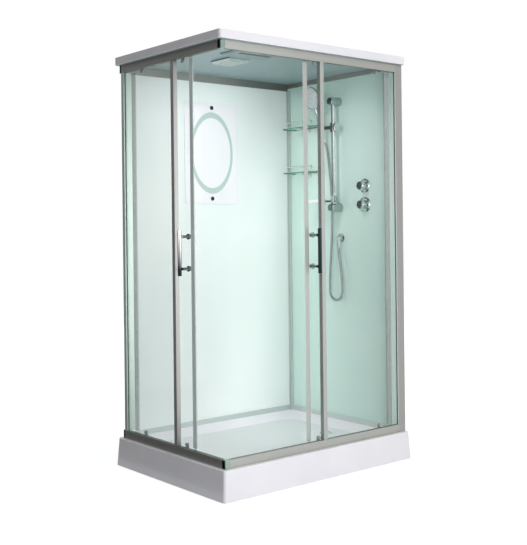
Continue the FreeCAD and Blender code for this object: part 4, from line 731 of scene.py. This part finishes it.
# Floor and surround
# A sheet of white paper lies under the cabin and takes its shadow, in a plain white room. Both look white
# where the camera, a mirror or a pane shows them, and light the cabin with much less.
FLOOR_HALF = 9.0
GLOW_NEAR = 0.82
GLOW_FAR = 0.97
GLOW_REACH = (0.8, 2.4)
SURROUND = 0.17
WHITE = tint("#FFFFFF")


def shown_directly(tree):
    """One for rays from the camera, a mirror or a pane, and none for the rest; gives the socket."""
    ray = add_node(tree, "LightPath", {})
    mirrored = add_node(tree, "Math", {
        0: ray.outputs["Is Camera Ray"], 1: ray.outputs["Is Glossy Ray"]}, operation="MAXIMUM")
    through = add_node(tree, "Math", {
        0: mirrored.outputs["Value"], 1: ray.outputs["Is Transmission Ray"]}, operation="MAXIMUM")
    return through.outputs["Value"]


floor = grid_mesh("studio_floor", flat_grid(
    (-FLOOR_HALF, -FLOOR_HALF, 0.0), (2 * FLOOR_HALF, 0.0, 0.0), (0.0, 2 * FLOOR_HALF, 0.0)))

# Matt paper, lifted to white further from the cabin's foot.
paper, tree = new_finish("matt_paper_white")
sheet = add_node(tree, "BsdfDiffuse", {"Color": tint("#C0C2C4")})
spot = add_node(tree, "TexCoord", {})
reach = add_node(tree, "VectorMath", {0: spot.outputs["Object"]}, operation="LENGTH")
fade = add_node(tree, "MapRange", {
    "Value": reach.outputs["Value"], "From Min": GLOW_REACH[0], "From Max": GLOW_REACH[1],
    "To Min": GLOW_NEAR, "To Max": GLOW_FAR})
lift = add_node(tree, "Math", {0: shown_directly(tree), 1: fade.outputs["Result"]}, operation="MULTIPLY")
glow = add_node(tree, "Emission", {"Color": WHITE, "Strength": lift.outputs["Value"]})
both = add_node(tree, "AddShader", {0: sheet.outputs["BSDF"], 1: glow.outputs["Emission"]})
add_node(tree, "OutputMaterial", {"Surface": both.outputs["Shader"]})
floor.data.materials.append(paper)

world = bpy.data.worlds.new("studio")
scene.world = world
world.use_nodes = True
tree = world.node_tree
tree.nodes.clear()
level = add_node(tree, "MapRange", {"Value": shown_directly(tree), "To Min": SURROUND, "To Max": 1.0})
room = add_node(tree, "Background", {"Color": WHITE, "Strength": level.outputs["Result"]})
add_node(tree, "OutputWorld", {"Surface": room.outputs["Background"]})

# Dark cards
# Two sheets of black felt, one upright left of the cabin and one on the floor, that only polished faces
# mirror. Felt is a dead black, here with a little glow in place of stray light.
CARD_LIFT = 0.02
UPRIGHT_CARD = ((-2.4, -0.2, CARD_LIFT), (0.0, 5.2, 0.0), (0.0, 0.0, 3.28))
FLOOR_CARD = ((-2.2, -0.5, CARD_LIFT), (0.0, 4.5, 0.0), (1.52, 0.0, 0.0))
felt, tree = new_finish("black_felt")
close_finish(tree, {
    "Base Color": tint("#101010"), "Roughness": 0.9, "Emission Color": WHITE, "Emission Strength": 0.1})
for name, card_sides in (("dark_card_upright", UPRIGHT_CARD), ("dark_card_floor", FLOOR_CARD)):
    card = grid_mesh(name, flat_grid(*card_sides))
    card.data.materials.append(felt)
    card.visible_camera = False
    card.visible_diffuse = False
    card.visible_transmission = False
    card.visible_shadow = False

# Lamps
# Large soft boxes stand before, above, left of and behind the cabin, and a small one at its open corner.
# Strips inside it light the back wall, the basin and the far corner; the near ones aren't mirrored.
CENTRE = (0.0, 0.0, 1.0)
ALL_ROUND = 180
NARROW = 70
for name, place, aim, wide, tall, watts, spread, mirrored in (
        ("key_lamp", (2.2, -7.0, 1.0), CENTRE, 3.0, 3.0, 150.0, ALL_ROUND, True),
        ("high_lamp", (1.0, -7.0, 6.5), CENTRE, 3.0, 3.0, 180.0, ALL_ROUND, True),
        ("corner_lamp", (-0.75, -2.2, 1.2), CENTRE, 1.0, 1.0, 15.0, ALL_ROUND, False),
        ("left_lamp", (-6.0, -1.5, 1.4), CENTRE, 2.0, 2.0, 26.0, ALL_ROUND, True),
        ("inner_strip", (-0.45, -0.3, 1.4), (-0.3, 0.42, 1.4), 0.15, 1.2, 0.6, ALL_ROUND, False),
        ("top_strip", (-0.14, -0.14, 1.98), (-0.1, 0.16, 0.1), 0.44, 0.12, 3.2, ALL_ROUND, False),
        ("corner_strip", (-0.1, -0.15, 1.0), (0.57, 0.38, 0.82), 0.3, 1.6, 0.68, NARROW, False),
        ("back_lamp", (3.0, 6.0, 2.5), CENTRE, 3.0, 3.0, 110.0, ALL_ROUND, False)):
    box = bpy.data.lights.new(name, "AREA")
    box.shape = "RECTANGLE"
    box.size = wide
    box.size_y = tall
    box.energy = watts
    box.spread = math.radians(spread)
    lamp = bpy.data.objects.new(name, box)
    lamp.location = place
    lamp.rotation_euler = (Vector(aim) - Vector(place)).to_track_quat("-Z", "Y").to_euler()
    lamp.visible_camera = False
    lamp.visible_glossy = mirrored
    scene.collection.objects.link(lamp)

# Camera
# Stands at the photograph's viewpoint, almost level, at breast height. The lens, the turns and the shift
# come from a fit to the cabin's corners.
EYE = Vector((-3.0475, -3.7100, 1.2071))
YAW = math.radians(39.467)
PITCH = math.radians(-0.067)
ROLL = math.radians(-0.6505)
LENS = 61.68
SENSOR = 36.0
SHIFT = -0.0811
FAR_LIMIT = 60.0
eye = bpy.data.cameras.new("photo_camera")
eye.lens = LENS
eye.sensor_width = SENSOR
eye.sensor_fit = "AUTO"
eye.shift_y = SHIFT
eye.clip_end = FAR_LIMIT
stand = bpy.data.objects.new("photo_camera", eye)
stand.matrix_world = (Matrix.Translation(EYE) @ Matrix.Rotation(-YAW, 4, "Z")
                      @ Matrix.Rotation(math.pi / 2 + PITCH, 4, "X") @ Matrix.Rotation(ROLL, 4, "Z"))
scene.collection.objects.link(stand)
scene.camera = stand
scene.view_settings.view_transform = "Standard"
